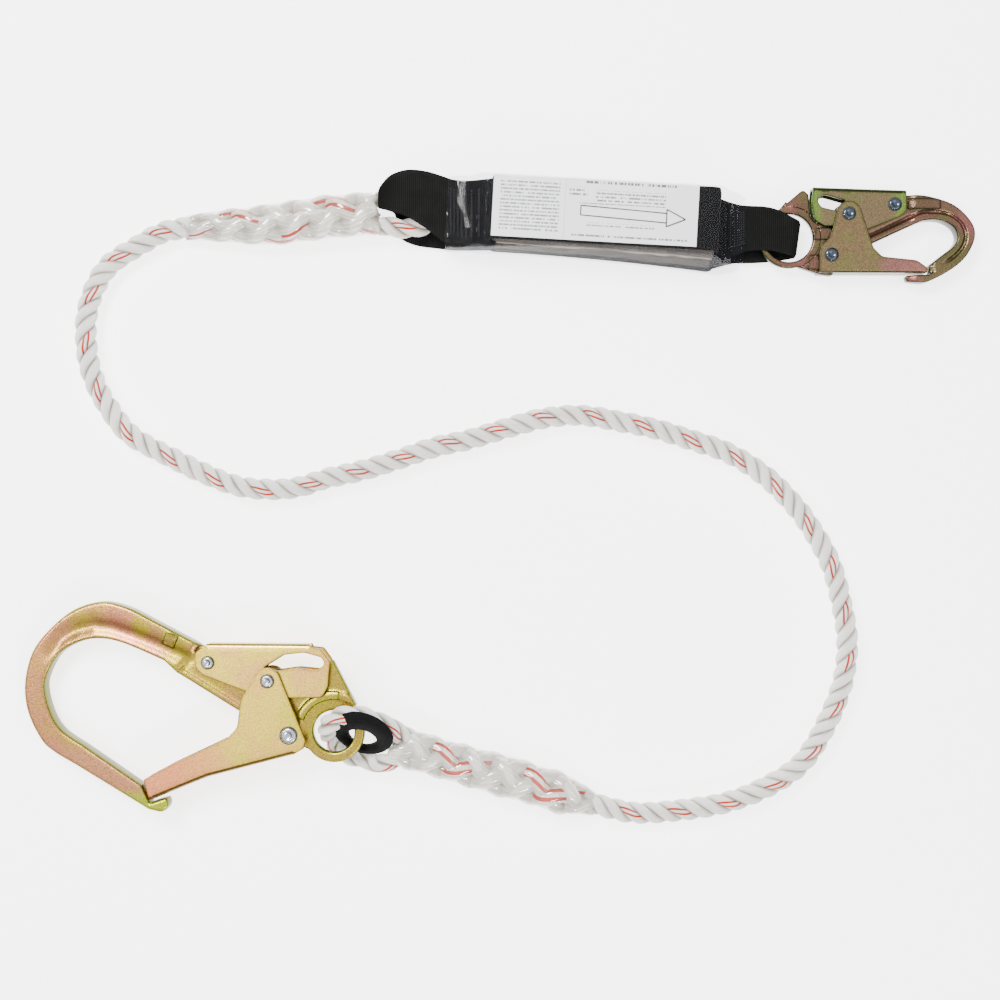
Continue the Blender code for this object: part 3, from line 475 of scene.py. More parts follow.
def mesh_object(name, verts, faces, mat, body, uv=None, attributes=(), place=None, sharp=50, indices=None):
    """A smooth-shaded object from points in millimetres, riding a body. uv is one pair per face corner."""
    verts = np.array(verts, float) * MM
    mesh = bpy.data.meshes.new(name)
    mesh.from_pydata(verts.tolist(), [], faces)
    if place is not None:
        mesh.transform(place)
    if uv is not None:
        layer = mesh.uv_layers.new(name="yarn")
        layer.data.foreach_set("uv", np.array(uv, np.float32).ravel())
    for key, values in attributes:
        mesh.attributes.new(key, "FLOAT", "POINT").data.foreach_set("value", np.array(values, np.float32))
    for one in mat if isinstance(mat, (list, tuple)) else [mat]:
        mesh.materials.append(one)
    if indices is not None:
        mesh.polygons.foreach_set("material_index", np.array(indices, np.int32))
    mesh.shade_smooth()
    mesh.set_sharp_from_angle(angle=math.radians(sharp))
    obj = bpy.data.objects.new(name, mesh)
    SCENE.collection.objects.link(obj)
    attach(obj, body)
    return obj


def grid_faces(rows, columns, start=0, wrap=True):
    faces = []
    for i in range(rows - 1):
        for j in range(columns if wrap else columns - 1):
            k = (j + 1) % columns
            faces.append((start + i * columns + j, start + (i + 1) * columns + j,
                          start + (i + 1) * columns + k, start + i * columns + k))
    return faces


def end_faces(rows, columns):
    """The two flat ends of a tube of grid_faces."""
    last = rows * columns - 1
    return [tuple(range(columns)), tuple(last - j for j in range(columns))]


# ---------------------------------------------------------------- rope

STRANDS = 3
STRAND_SIDES = 16


def strand_mesh(centre, radius, outward, yarn_turns, along):
    """Vertices, faces, corner UVs and outwardness of one strand whose section angle starts at outward."""
    t = unit(np.gradient(centre, axis=0))
    e = unit(outward - t * (outward * t).sum(1)[:, None])
    f = np.cross(t, e)
    psi = np.linspace(0, 2 * math.pi, STRAND_SIDES, endpoint=False)
    ring = e[:, None] * np.cos(psi)[None, :, None] + f[:, None] * np.sin(psi)[None, :, None]
    verts = centre[:, None] + ring * radius[:, None, None]
    n, m = len(centre), STRAND_SIDES
    faces = grid_faces(n, m)
    u = psi / (2 * math.pi)
    uv = []
    for i in range(n - 1):
        for j in range(m):
            ua, ub = u[j], u[j] + 1 / m
            uv += [(ua + yarn_turns[i], along[i]), (ua + yarn_turns[i + 1], along[i + 1]),
                   (ub + yarn_turns[i + 1], along[i + 1]), (ub + yarn_turns[i], along[i])]
    out = np.tile(np.cos(psi), n)
    ends = [verts[0].mean(0), verts[-1].mean(0)]
    verts = np.concatenate([verts.reshape(-1, 3), ends])
    for j in range(m):
        k = (j + 1) % m
        faces.append((n * m, j, k))
        faces.append((n * m + 1, (n - 1) * m + k, (n - 1) * m + j))
        uv += [(yarn_turns[0] + 0.5, along[0])] * 3 + [(yarn_turns[-1] + 0.5, along[-1])] * 3
    return verts, faces, uv, np.concatenate([out, [0, 0]])


def laid_rope(name, route, radii, lay, mats, flat=1.0, phase=0.0, spliced=False):
    """Right-hand laid strands along a route. radii is the rope's own radius, at each route point or everywhere.

    A splice has as many strands again, which turn the other way over and under the first ones, and a core.
    flat squeezes its height. Tracer yarns run in each turning's first strand."""
    rows = np.column_stack([np.array(route, float), np.broadcast_to(radii, (len(route),))])
    rows = spaced(rows, lay / (34 if spliced else 20))
    points, outer = rows[:, :3], rows[:, 3]
    _, one, two = frames(points)
    along = distance_along(points)
    strand_r = outer * (0.46 if spliced else 1 / (1 + 1 / math.sin(math.pi / STRANDS)))
    reach = outer - strand_r
    verts, faces, uv, out, index = [], [], [], [], []

    def add(strand, material):
        start = sum(len(v) for v in verts)
        verts.append(strand[0])
        faces.extend(tuple(i + start for i in face) for face in strand[1])
        uv.extend(strand[2])
        out.append(strand[3])
        index.extend([material] * len(strand[1]))

    rng = np.random.default_rng(7)
    for k in range(STRANDS * 2 if spliced else STRANDS):
        way = 1 if k < STRANDS else -1
        angle = way * 2 * math.pi * (along / lay + k / STRANDS) + phase
        radial = one * np.cos(angle)[:, None] + two * np.sin(angle)[:, None]
        swell = 1 + (0.15 * way * np.cos(2 * math.pi * STRANDS * along / lay) if spliced else 0)
        centre = points + radial * (reach * swell)[:, None]
        if spliced:
            turns = way * 1.5 * along / lay + rng.random()
        else:
            turns = 2 * along / lay + 0.12 - 1.5 + phase / math.pi + 0.07 * np.sin(along / 57.0)
        size = strand_r * 1.05 * (1 + 0.03 * np.sin(along / 9.0 + k))
        add(strand_mesh(centre, size, radial, turns, along * 0.05), 0 if k % STRANDS == 0 else 1)
    if spliced:
        core = strand_mesh(points, outer * 0.7, one, along * 0, along * 0.05)
        # The core takes an outwardness of 0.1, so the painted groove shade darkens most of it.
        add((*core[:3], core[3] * 0 + 0.1), 1)
    verts = np.concatenate(verts)
    if flat != 1.0:
        near = np.abs(verts[:, None, :2] - points[None, ::4, :2]).sum(2)
        base = points[::4, 2][near.argmin(1)]
        verts[:, 2] = base + (verts[:, 2] - base) * flat
    outward = [("outward", np.concatenate(out))]
    return mesh_object(name, verts, faces, mats, "line", uv, outward, sharp=180, indices=index)


ROPE_D, EYE_D = 14.0, 13.0
LAY, EYE_LAY, SPLICE_LAY = 32.0, 38.0, 62.0
ROPE_ROUTE = [
    (-207.2, 172.7, 7.1), (-220.0, 170.0, 7.1), (-236.5, 160.8, 7.1), (-254.5, 149.0, 7.1),
    (-264.2, 134.0, 7.1), (-269.8, 113.8, 7.1), (-268.8, 88.4, 7.1), (-263.6, 70.9, 7.1),
    (-255.8, 56.6, 7.1), (-242.1, 39.0, 7.1), (-221.0, 26.5, 7.1), (-187.2, 10.4, 7.1),
    (-164.5, 3.4, 7.1), (-135.9, 3.0, 7.1), (-112.5, 9.8, 7.1), (-89.1, 15.0, 7.1),
    (-65.7, 22.1, 7.1), (-42.9, 29.9, 7.1), (-19.5, 35.1, 7.1), (4.6, 42.3, 7.1),
    (28.6, 48.8, 7.1), (52.7, 50.7, 7.1), (76.7, 46.8, 7.1), (100.8, 41.9, 7.1),
    (124.8, 34.5, 7.1), (148.9, 26.0, 7.1), (172.9, 11.1, 7.1), (192.4, -8.5, 7.1),
    (203.5, -24.1, 7.1), (212.3, -39.0, 7.1), (218.4, -54.0, 7.1), (223.4, -75.8, 7.1),
    (226.4, -97.0, 7.1), (223.9, -121.8, 7.1), (214.4, -147.3, 7.1), (197.5, -175.2, 7.1),
    (175.0, -191.0, 7.1), (148.2, -201.6, 7.1), (120.0, -206.5, 7.1), (91.0, -208.7, 7.1),
    (72.0, -205.5, 7.1), (64.2, -203.3, 7.1)]

UPPER_SPLICE = [
    (-205.0, 172.9), (-185.0, 173.7), (-154.5, 174.2), (-130.0, 176.8), (-107.0, 179.7), (-81.6, 181.9)]
UPPER_SPLICE_R = [7.3, 9.4, 12.2, 13.0, 13.2, 13.2]
LOWER_SPLICE = [
    (61.5, -202.4), (52.0, -199.8), (39.0, -195.0), (22.8, -189.6), (3.3, -184.0), (-19.5, -177.6),
    (-39.0, -171.8), (-55.0, -166.6), (-63.0, -164.0), (-69.0, -162.6)]
LOWER_SPLICE_R = [7.3, 9.4, 12.6, 12.4, 13.0, 12.4, 12.2, 12.4, 11.0, 8.5]
UPPER_RISE = [0] * 6
LOWER_RISE = [0, 0, 0, 0, 0, 0.4, 2.0, 4.8, 7.0, 9.0]
FLAT = 0.76

UPPER_EYE = [
    (-78.2, 174.6, 9.6), (-73.0, 173.4, 9.4), (-66.0, 172.3, 9.4), (-56.0, 172.5, 9.4), (-47.5, 175.5, 9.4),
    (-42.0, 181.0, 9.4), (-40.6, 187.5, 9.4), (-43.0, 194.0, 9.4), (-49.5, 198.7, 9.4), (-58.0, 199.6, 9.4),
    (-66.0, 197.3, 9.4), (-73.0, 192.8, 9.5), (-78.2, 190.2, 9.7)]

RING_AT = (-106.2, -152.6, 22.0)
EYE_R, EYE_TILT, EYE_TURN, EYE_OFFSET = 22.5, math.radians(42), math.radians(-17), 19.2
EYE_CLIMB, EYE_STEEP, EYE_SHIFT = 16.2, 2.2, 0.17


def splice_line(points, radii, rise, steps):
    """A splice's centre line, resting on the surface apart from its rise, and its radius along the line."""
    rows = [(x, y, FLAT * (r + 1.0) + 0.5 + lift, r) for (x, y), r, lift in zip(points, radii, rise)]
    fine = smooth(rows, steps)
    return fine[:, :3], fine[:, 3]


def eye_frame():
    centre = Vector(RING_AT) + Vector((EYE_OFFSET, 0, 0))
    return Matrix.Translation(centre) @ Matrix.Rotation(EYE_TURN, 4, "Z")


def lower_eye_points():
    """The bight climbs steeply through the hook's ring; its two legs flatten and drop to the splice."""
    upper = [(38.0, 5.0, 0.5), (31.0, 6.0, 2.0), (26.0, 8.6, 3.4), (20.5, 13.0, 5.4), (15.0, 17.5, 8.2)]
    lower = [(14.5, -18.0, -20.3), (20.5, -13.0, -15.6), (26.0, -8.6, -11.0), (31.0, -6.0, -8.8),
             (38.0, -5.0, -8.0)]
    bow = []
    for angle in range(70, 291, 20):
        a, b = EYE_R * math.cos(math.radians(angle)), EYE_R * math.sin(math.radians(angle))
        bow.append((a, b, b * math.cos(EYE_TILT) - 4.0 - 1.8 * max(b / EYE_R, 0)))
    place = eye_frame()
    end = FLAT * (LOWER_SPLICE_R[7] + 1.0) + 0.5 + LOWER_RISE[7] - RING_AT[2]
    made = []
    for a, b, across in smooth(upper + bow + lower, 4):
        t = min(max((a - (3.5 if b > 0 else 6.0)) / 28.0, 0.0), 1.0)
        t = t * t * (3 - 2 * t)
        steep = EYE_STEEP * (b / EYE_R + EYE_SHIFT)
        climb = EYE_CLIMB * steep / math.sqrt(1 + steep * steep) * (1 - 0.14 * max(b / EYE_R, 0))
        made.append(tuple(place @ Vector((a, across, climb * (1 - t) + (end + b * 0.1) * t))))
    return made


def sleeve(name, points, radii, rise, mat, node_name, seed):
    """Crinkled shrink film round a splice, open at both ends."""
    line, r = splice_line(points, radii, rise, 10)
    _, one, two = frames(line)
    m = 40
    psi = np.linspace(0, 2 * math.pi, m, endpoint=False)
    rng = np.random.default_rng(seed)
    wave = rng.random((6, 4))
    verts = []
    along = np.linspace(0, 1, len(line))
    for i in range(len(line)):
        for a in psi:
            lump = sum(0.22 * math.sin(w[0] * 40 * along[i] + round(w[1] * 4) * a + w[2] * 6) for w in wave)
            size = r[i] + 0.35 + max(-0.35, lump * 0.45)
            v = line[i] + (one[i] * math.cos(a) + two[i] * math.sin(a) * FLAT) * size
            v[2] = max(v[2], 0.5)
            verts.append(v)
    obj = mesh_object(name, verts, grid_faces(len(line), m), mat, "line", sharp=180)
    stands_for(obj, node_name)


def build_ropes():
    mats = [rope_fibre("rope_with_tracers", (0.0, 0.16)), rope_fibre("rope_white", ())]
    wet = [rope_fibre("splice_with_tracers", (0.0, 0.16, 0.5, 0.66), 1.0), rope_fibre("splice_white", (),
                                                                                      1.0)]
    route = smooth(ROPE_ROUTE, 8)
    hidden = 7.0
    start = route[0] + (route[0] - route[1]) / np.linalg.norm(route[0] - route[1]) * hidden
    end = route[-1] + (route[-1] - route[-2]) / np.linalg.norm(route[-1] - route[-2]) * hidden
    whole = spaced(np.vstack([start, route, end]), 5.0)
    rope = laid_rope("rope_strands", whole, ROPE_D / 2, LAY, mats, phase=0.6)
    stands_for(rope, "rope")
    splices = (("upper", UPPER_SPLICE, UPPER_SPLICE_R, UPPER_RISE, 0.0, 3),
               ("lower", LOWER_SPLICE, LOWER_SPLICE_R, LOWER_RISE, 1.0, 5))
    for end, points, radii, rise, phase, _ in splices:
        line, r = splice_line(points, radii, rise, 6)
        strands = laid_rope(f"{end}_splice_strands", line, r, SPLICE_LAY, wet, FLAT, phase, True)
        stands_for(strands, f"{end}_splice")
    for end, points, phase in (("upper", smooth(UPPER_EYE, 6), 2.0), ("lower", lower_eye_points(), 0.4)):
        strands = laid_rope(f"{end}_eye_strands", points, EYE_D / 2, EYE_LAY, mats, phase=phase)
        stands_for(strands, f"{end}_eye")
    film = clear_film("shrink_film", (0.12, 0.11, 0.09), 0.14, 0.08, 55.0)
    for end, points, radii, rise, _, seed in splices:
        sleeve(f"{end}_sleeve_film", points, radii, rise, film, f"{end}_shrink_sleeve", seed)


# ---------------------------------------------------------------- relief solids

SHARP = 38
SHEET = 1.6
PLATE_GAP = 0.3
PLATE_RINGS = (0.12, 0.35, 0.8, 1.5, 2.4)


def segment_distance(points, a, b):
    d = b - a
    rel = points[:, None] - a[None]
    t = np.clip((rel * d).sum(2) / np.maximum((d * d).sum(1), 1e-9), 0, 1)
    return np.sqrt(((rel - t[..., None] * d) ** 2).sum(2)).min(1)


def line_distance(points, line):
    p = np.array(line, float)
    return segment_distance(points, p[:-1], p[1:])


def loop_distance(points, loops):
    parts = [segment_distance(points, np.array(loop), np.roll(np.array(loop), -1, axis=0)) for loop in loops]
    return np.min(parts, axis=0)


def inside(points, loops):
    result = np.zeros(len(points), bool)
    for loop in loops:
        a = np.array(loop)
        b = np.roll(a, -1, axis=0)
        x, y = points[:, :1], points[:, 1:]
        rise = np.where(np.abs(b[:, 1] - a[:, 1]) < 1e-9, 1e-9, b[:, 1] - a[:, 1])
        crosses = ((a[:, 1] > y) != (b[:, 1] > y)) & (x < (b[:, 0] - a[:, 0]) * (y - a[:, 1]) / rise + a[:,
                                                                                                         0])
        result ^= crosses.sum(1) % 2 == 1
    return result


def signed(points, loop):
    """Distance to a loop, positive inside it."""
    d = loop_distance(points, [loop])
    return np.where(inside(points, [loop]), d, -d)


def closed_spaced(loop, step):
    p = np.array([*loop, loop[0]], float)
    keep = np.concatenate([[True], np.linalg.norm(np.diff(p, axis=0), axis=1) > 1e-4])
    p = p[keep]
    made = []
    for a, b in zip(p, p[1:]):
        n = max(1, math.ceil(np.linalg.norm(b - a) / step))
        made += [a + (b - a) * k / n for k in range(n)]
    return np.array(made)


def drop(d, radius):
    """How far a rounded edge lies below its flat, at distance d from the outline."""
    x = np.maximum(radius - d, 0)
    return radius - np.sqrt(np.maximum(radius * radius - x * x, 0))


def loop_normals(loop):
    ahead = np.roll(loop, -1, axis=0) - np.roll(loop, 1, axis=0)
    return unit(np.stack([-ahead[:, 1], ahead[:, 0]], axis=1))


def line_normals(line):
    ahead = np.gradient(line, axis=0)
    return unit(np.stack([-ahead[:, 1], ahead[:, 0]], axis=1))


def relief(name, loops, top, bottom, mat, body, place, rings, grid, step=1.3, detail=(), shade=None):
    """A solid with sculpted faces. top and bottom give heights from points and their distance to the outline.

    rings are distances inside the outline where points are set, grid is their spacing further in and step their
    spacing along it. detail are outlines of finer shape, outlined in painted shade, and shade picks points that
    get a band of painted shade."""
    dense = [closed_spaced(loop, step) for loop in loops]
    points = [p for loop in dense for p in loop]
    edges = []
    start = 0
    for loop in dense:
        n = len(loop)
        edges += [(start + i, start + (i + 1) % n) for i in range(n)]
        start += n
    extra = []
    for loop in dense:
        normal = loop_normals(loop)
        for side in (1, -1):
            for r in rings:
                q = loop + normal * side * r
                keep = inside(q, dense) & (loop_distance(q, dense) > r * 0.93)
                extra.append(q[keep])
    lo = np.min([loop.min(0) for loop in dense], axis=0)
    hi = np.max([loop.max(0) for loop in dense], axis=0)
    xs, ys = np.meshgrid(np.arange(lo[0], hi[0], grid), np.arange(lo[1], hi[1], grid * 0.87))
    xs[1::2] += grid / 2
    q = np.stack([xs.ravel(), ys.ravel()], axis=1)
    q = q[inside(q, dense)]
    extra.append(q[loop_distance(q, dense) > rings[-1] + grid * 0.4])
    for loop in detail:
        around = closed_spaced(loop, 0.8)
        normal = loop_normals(around)
        for r in (-0.5, -0.15, 0.15, 0.5):
            q = around + normal * r
            q = q[inside(q, dense)]
            extra.append(q[loop_distance(q, dense) > 0.3])
    points = np.vstack([np.array(points), *extra])
    found = delaunay_2d_cdt([Vector(p) for p in points], edges, [], 0, 1e-4)
    flat = np.array([tuple(v) for v in found[0]])
    tris = np.array([t for t in found[2] if len(t) == 3])
    tris = tris[inside(flat[tris].mean(1), dense)]
    area = np.cross(flat[tris[:, 1]] - flat[tris[:, 0]], flat[tris[:, 2]] - flat[tris[:, 0]])
    tris[area < 0] = tris[area < 0][:, ::-1]
    tris = tris[np.abs(area) > 1e-9]
    d = loop_distance(flat, dense)
    d[d < 1e-3] = 0
    high, low = top(flat, d), bottom(flat, d)
    n = len(flat)
    verts = np.vstack([np.column_stack([flat, high]), np.column_stack([flat, low])])
    faces = [tuple(t) for t in tris] + [tuple(n + t[::-1]) for t in tris]
    count = {}
    for t in tris:
        for a, b in ((t[0], t[1]), (t[1], t[2]), (t[2], t[0])):
            count[(a, b)] = count.get((a, b), 0) + 1
    for a, b in count:
        if (b, a) not in count:
            faces.append((b, a, n + a, n + b))
    used = sorted({i for f in faces for i in f})
    order = {old: new for new, old in enumerate(used)}
    faces = [tuple(order[i] for i in f) for f in faces]
    # Painted shade: where this edge value is small the plated material draws a near-black line, so pad outlines
    # and the points picked by shade get it too.
    line = d
    if detail:
        line = np.minimum(line, loop_distance(flat, [closed_spaced(loop, 2.0) for loop in detail]) + 0.1)
    if shade is not None:
        line = np.where(shade(flat), 0.2, line)
    edge = np.concatenate([line, line])[used]
    return mesh_object(name, verts[used], faces, mat, body, None, [("edge", edge)], place, SHARP)


def joined(name, pieces):
    """Joins several solids into one object."""
    bm = bmesh.new()
    for obj in pieces:
        bm.from_mesh(obj.data)
    mesh = pieces[0].data
    bm.to_mesh(mesh)
    bm.free()
    for obj in pieces[1:]:
        bpy.data.objects.remove(obj)
    mesh.shade_smooth()
    mesh.set_sharp_from_angle(angle=math.radians(SHARP))
    pieces[0].name = name
    return pieces[0]


def folded(name, loops, reach, fold, radius, mat, body, place, node_name, band):
    """Two plates joined by a web along the fold line, which is part of the first outline.

    reach is how far they stand from the middle plane, radius the fold's and band the width of the dark band
    painted along it as shade."""
    fold = spaced(fold, 1.5)

    def top(p, d):
        return reach - drop(line_distance(p, fold), radius) - drop(d, 0.35)

    def under(p, d):
        return reach - SHEET - drop(line_distance(p, fold), radius) * 0.8 + drop(d, 0.2)

    # Points near the fold, where a dark band of painted shade is drawn.
    def painted_fold_shade(p):
        return line_distance(p, fold) < band

    upper = relief(name, loops, top, under, mat, body, place, PLATE_RINGS, 3.0, shade=painted_fold_shade)
    lower = relief(name + "_under", loops, lambda p, d: -under(p, d), lambda p, d: -top(p, d), mat, body,
                   place, PLATE_RINGS, 3.0, shade=painted_fold_shade)
    normal = line_normals(fold)
    middle = np.mean(np.array(loops[0]), axis=0)
    if ((middle - fold.mean(0)) * normal.mean(0)).sum() < 0:
        normal = -normal
    z = reach - radius
    verts = []
    for p, q in zip(fold, fold + normal * SHEET):
        verts += [(*p, z + 0.05), (*q, z + 0.4), (*q, -z - 0.4), (*p, -z - 0.05)]
    faces = grid_faces(len(fold), 4) + end_faces(len(fold), 4)
    web = mesh_object(name + "_web", verts, faces, mat, body, None, [("edge", np.full(len(verts), 1.2))],
                      place)
    stands_for(joined(name, [upper, lower, web]), node_name)


# ---------------------------------------------------------------- hooks

def hook_place(at, ring, tilt):
    turn = Matrix.Rotation(tilt, 4, "Y")
    origin = Vector(at) - turn @ Vector((ring[0], ring[1], 0))
    return Matrix.Translation(origin * MM) @ turn


def rivet(name, at, grip, head_r, shank_r, mats, body, place, node_name, head=1.5):
    """Domed head with a dished centre and a line of painted shade round its foot, the same on both sides."""
    low = grip + 0.3
    top = [(0.0, low + head * 0.48), (head_r * 0.2, low + head * 0.5), (head_r * 0.34, low + head * 0.62),
           (head_r * 0.44, low + head * 0.92), (head_r * 0.56, low + head),
           (head_r * 0.70, low + head * 0.93), (head_r * 0.80, low + head * 0.72),
           (head_r * 0.88, low + head * 0.42), (head_r * 0.91, low + 0.25), (head_r, low + 0.12),
           (head_r, low), (shank_r, low)]
    profile = top + [(r, -z) for r, z in reversed(top)]
    m = 40
    psi = np.linspace(0, 2 * math.pi, m, endpoint=False)
    verts = [(at[0] + r * math.cos(a), at[1] + r * math.sin(a), z) for r, z in profile for a in psi]
    faces = grid_faces(len(profile), m)
    # Painted shade: the rings at the foot of the head take the near-black second material, where the head meets
    # the plate.
    foot = (7, 8, 9)
    dark = {*foot, *(len(profile) - 2 - k for k in foot)}
    index = [1 if k // m in dark else 0 for k in range(len(faces))]
    obj = mesh_object(name, verts, faces, mats, body, place=place, indices=index)
    turned_outward(obj, 1e-6)
    stands_for(obj, node_name)


ANCHOR_RING = (28.1, 2.0)
ANCHOR_TILT = math.radians(-3.9)
ANCHOR_LOCK = (-52.9, 45.7)
ANCHOR_PIN = (-13.8, 34.4)
ANCHOR_OUTLINE = rounded([
    (27.6, 47.9, 1.2), (42.4, 19.6, 1), *arc(ANCHOR_RING, 19.9, 46, -142, 26), (8.4, -7.7), (0.0, -8.6, 6),
    (-8.2, -5.0, 6), (-8.4, 6.0, 6), (-33.3, 14.5, 20), (-73.3, 38.5, 6), (-82.0, 46.5),
    *curve((-82.0, 46.5), (-108.1, 57.3), (-124.0, 60.5), (-138.0, 58.2), (-151.6, 50.1), (-159.6, 35.6),
           (-160.3, 25.4), (-155.9, 10.9), (-148.7, 0.7), (-135.0, -8.3))[1:],
    (-96.6, -33.6, 1), (-91.2, -45.0, 1), (-84.6, -42.6, 0.6), *arc((-84.6, -45.4), 5.6, 40, -110, 8),
    (-92.1, -49.4, 4),
    *curve((-140.0, -21.4), (-154.5, -13.1), (-163.2, -5.1), (-171.9, 12.4), (-174.1, 31.2), (-169.0, 51.5),
           (-157.0, 67.0), (-141.0, 79.4), (-122.6, 84.4), (-105.2, 80.5), (-90.0, 73.1)),
    (-57.3, 56.4, 2), (-44.0, 51.5, 5), (-38.0, 41.0, 6), (-26.0, 29.0, 8), (2.0, 33.2, 10), (17.0, 31.6, 4),
    (26.2, 47.4)])
ANCHOR_HALF = 4.2
ANCHOR_PAD = rounded([(-83.0, 57.6, 1), (-75.6, 54.6, 1), (-72.4, 62.0, 1), (-79.8, 65.0, 1)])
ANCHOR_VALLEY = [(-156.1, 52.0), (-150.0, 61.2), (-140.3, 66.1), (-128.2, 68.9), (-116.1, 67.3),
                 (-100.1, 62.1), (-84.0, 55.7), (-69.5, 49.2)]
ANCHOR_SHANK = [(-73.3, 38.5), (-33.3, 14.5), (-8.4, 6.0)]


def anchor_body_top(p, d):
    """Half thickness: a thick bow with a shallow valley, a thinner shank, and a thin ring with a raised arc."""
    u, v = p[:, 0], p[:, 1]
    crease = ((u + 64.2) * 18.1 - (v - 48.2) * 13.7) / 22.7
    crease = np.where((v < 20) & (u < -60), -20, crease)
    bow = 1 - ramp(crease, -4.5, -0.2)
    ring = np.hypot(u - ANCHOR_RING[0], v - ANCHOR_RING[1])
    half = ANCHOR_HALF + 1.5 * bow
    shank = (1 - bow) * ramp(ring, 24, 27)
    half = half - 1.3 * shank * ramp(line_distance(p, ANCHOR_SHANK), 2.6, 5.4)
    half = half - 0.95 * (1 - ramp(ring, 20.4, 20.9))
    pad_in, pad_out = ramp(ring, 20.6, 20.9), 1 - ramp(ring, 25.6, 25.9)
    turn = np.degrees(np.arctan2(v - ANCHOR_RING[1], u - ANCHOR_RING[0]))
    pad = pad_in * pad_out * ramp(turn, 81, 83) * (1 - ramp(turn, 158, 160))
    half = half + 0.2 * pad
    valley = line_distance(p, ANCHOR_VALLEY)
    half = half - 2.6 * np.exp(-(valley / 4.4) ** 2) * ramp(u, -172, -138)
    half = half + np.exp(-((crease + 1.9) / 0.9) ** 2) * 0.7
    s = signed(p, ANCHOR_PAD)
    half = half + 0.8 * ramp(s, -0.4, 0.2) - 0.35 * ramp(s, 0.8, 1.2)
    return half - drop(d, 1.6 + 0.6 * bow)


GOLD = (0.80, 0.58, 0.085), (0.68, 0.56, 0.05)
FORGING_BANDS = [
    (0, -0.262, -0.290, (0.46, 0.19, 0.09), 0.6), (1, -0.158, -0.172, (0.50, 0.20, 0.12), 0.8),
    (1, -0.188, -0.197, (0.34, 0.40, 0.02), 0.9), (0, -0.150, -0.128, (0.33, 0.26, 0.02), 0.75)]
GATE_BANDS = [(0, -0.160, -0.212, (0.80, 0.25, 0.14), 0.85)]


def build_anchor_hook(rivets):
    place = hook_place(RING_AT, ANCHOR_RING, ANCHOR_TILT)
    pink = plated("anchor_forging", (0.38, 0.21, 0.055), (0.43, 0.16, 0.085), (0.36, 0.28, 0.02),
                  (0.26, 0.34, 0.01), 0.28, 26.0, 0.2, 0.85, FORGING_BANDS)
    gold = plated("anchor_sheet", *GOLD, (0.78, 0.43, 0.13), (0.30, 0.20, 0.01), 0.30, 26.0, 0.18)
    blushed = plated("anchor_gate_sheet", *GOLD, (0.80, 0.48, 0.11), (0.30, 0.18, 0.01), 0.30, 26.0, 0.18,
                     0.8, GATE_BANDS)
    arc_pad = arc(ANCHOR_RING, 20.75, 82, 159, 16) + arc(ANCHOR_RING, 25.75, 159, 82, 16)
    forging = relief("anchor_forging", [ANCHOR_OUTLINE, circle(ANCHOR_RING, 13.35, 60)], anchor_body_top,
                     lambda p, d: -anchor_body_top(p, d), pink, "anchor_hook", place,
                     (0.12, 0.35, 0.7, 1.1, 1.6, 2.3, 3.2, 4.2, 5.2), 1.9, 1.2, [ANCHOR_PAD, arc_pad])
    stands_for(forging, "anchor_body")
    reach = ANCHOR_HALF + PLATE_GAP + SHEET
    gate_reach = reach + PLATE_GAP + SHEET
    outline = rounded([
        (-55.8, 37.6, 6), (-28.3, 27.4, 20), (-0.7, 23.5), (21.1, 23.8, 5), (25.1, 31.2, 4), (26.3, 47.2, 4),
        (20.3, 55.1, 2), (13.6, 55.8), (12.8, 58.0), (-53.5, 58.0, 5), (-61.6, 51.5, 6), (-61.0, 42.0, 5)])
    window = rounded([(-18.0, 42.0, 1), (-8.0, 40.9, 2), (5.1, 42.8, 12), (18.1, 41.6, 3), (23.2, 45.4, 2.6),
                      (20.6, 49.6, 3), (9.5, 52.6, 12), (-3.6, 51.0, 8)])
    folded("anchor_lock_plates", [outline, window], reach, [(-53.0, 58.0), (12.6, 58.0)], 2.6, gold,
           "anchor_lock", place, "anchor_lock_lever", 0.9)
    outline = rounded([
        (-90.6, -43.2, 1), (-61.6, -31.1, 30), (-52.9, -27.5, 30), (2.6, -12.6), (9.9, -8.2, 1.5),
        (10.9, -3.0, 3), *arc(ANCHOR_PIN, 8.7, 15, 150, 12), (-31.2, 22.0, 14), (-33.4, 4.5, 8),
        (-40.0, -2.4, 8), (-76.1, -19.6, 30), (-94.4, -29.4, 1.5)])
    fold = [(-89.8, -42.8), (-61.6, -31.1), (-52.9, -27.6), (2.2, -12.7)]
    folded("anchor_gate_plates", [outline], gate_reach, fold, 3.4, blushed, "anchor_gate_assembly", place,
           "anchor_gate", 2.8)
    rivet("anchor_gate_rivet_head", (0, 0), gate_reach, 5.8, 3.0, rivets, "anchor_hook", place,
          "anchor_gate_rivet")
    rivet("anchor_lock_rivet_head", ANCHOR_LOCK, reach, 4.4, 2.5, rivets, "anchor_hook", place,
          "anchor_lock_rivet")
    rivet("anchor_guide_pin_head", ANCHOR_PIN, gate_reach, 4.6, 2.2, rivets, "anchor_gate_assembly", place,
          "anchor_guide_pin")


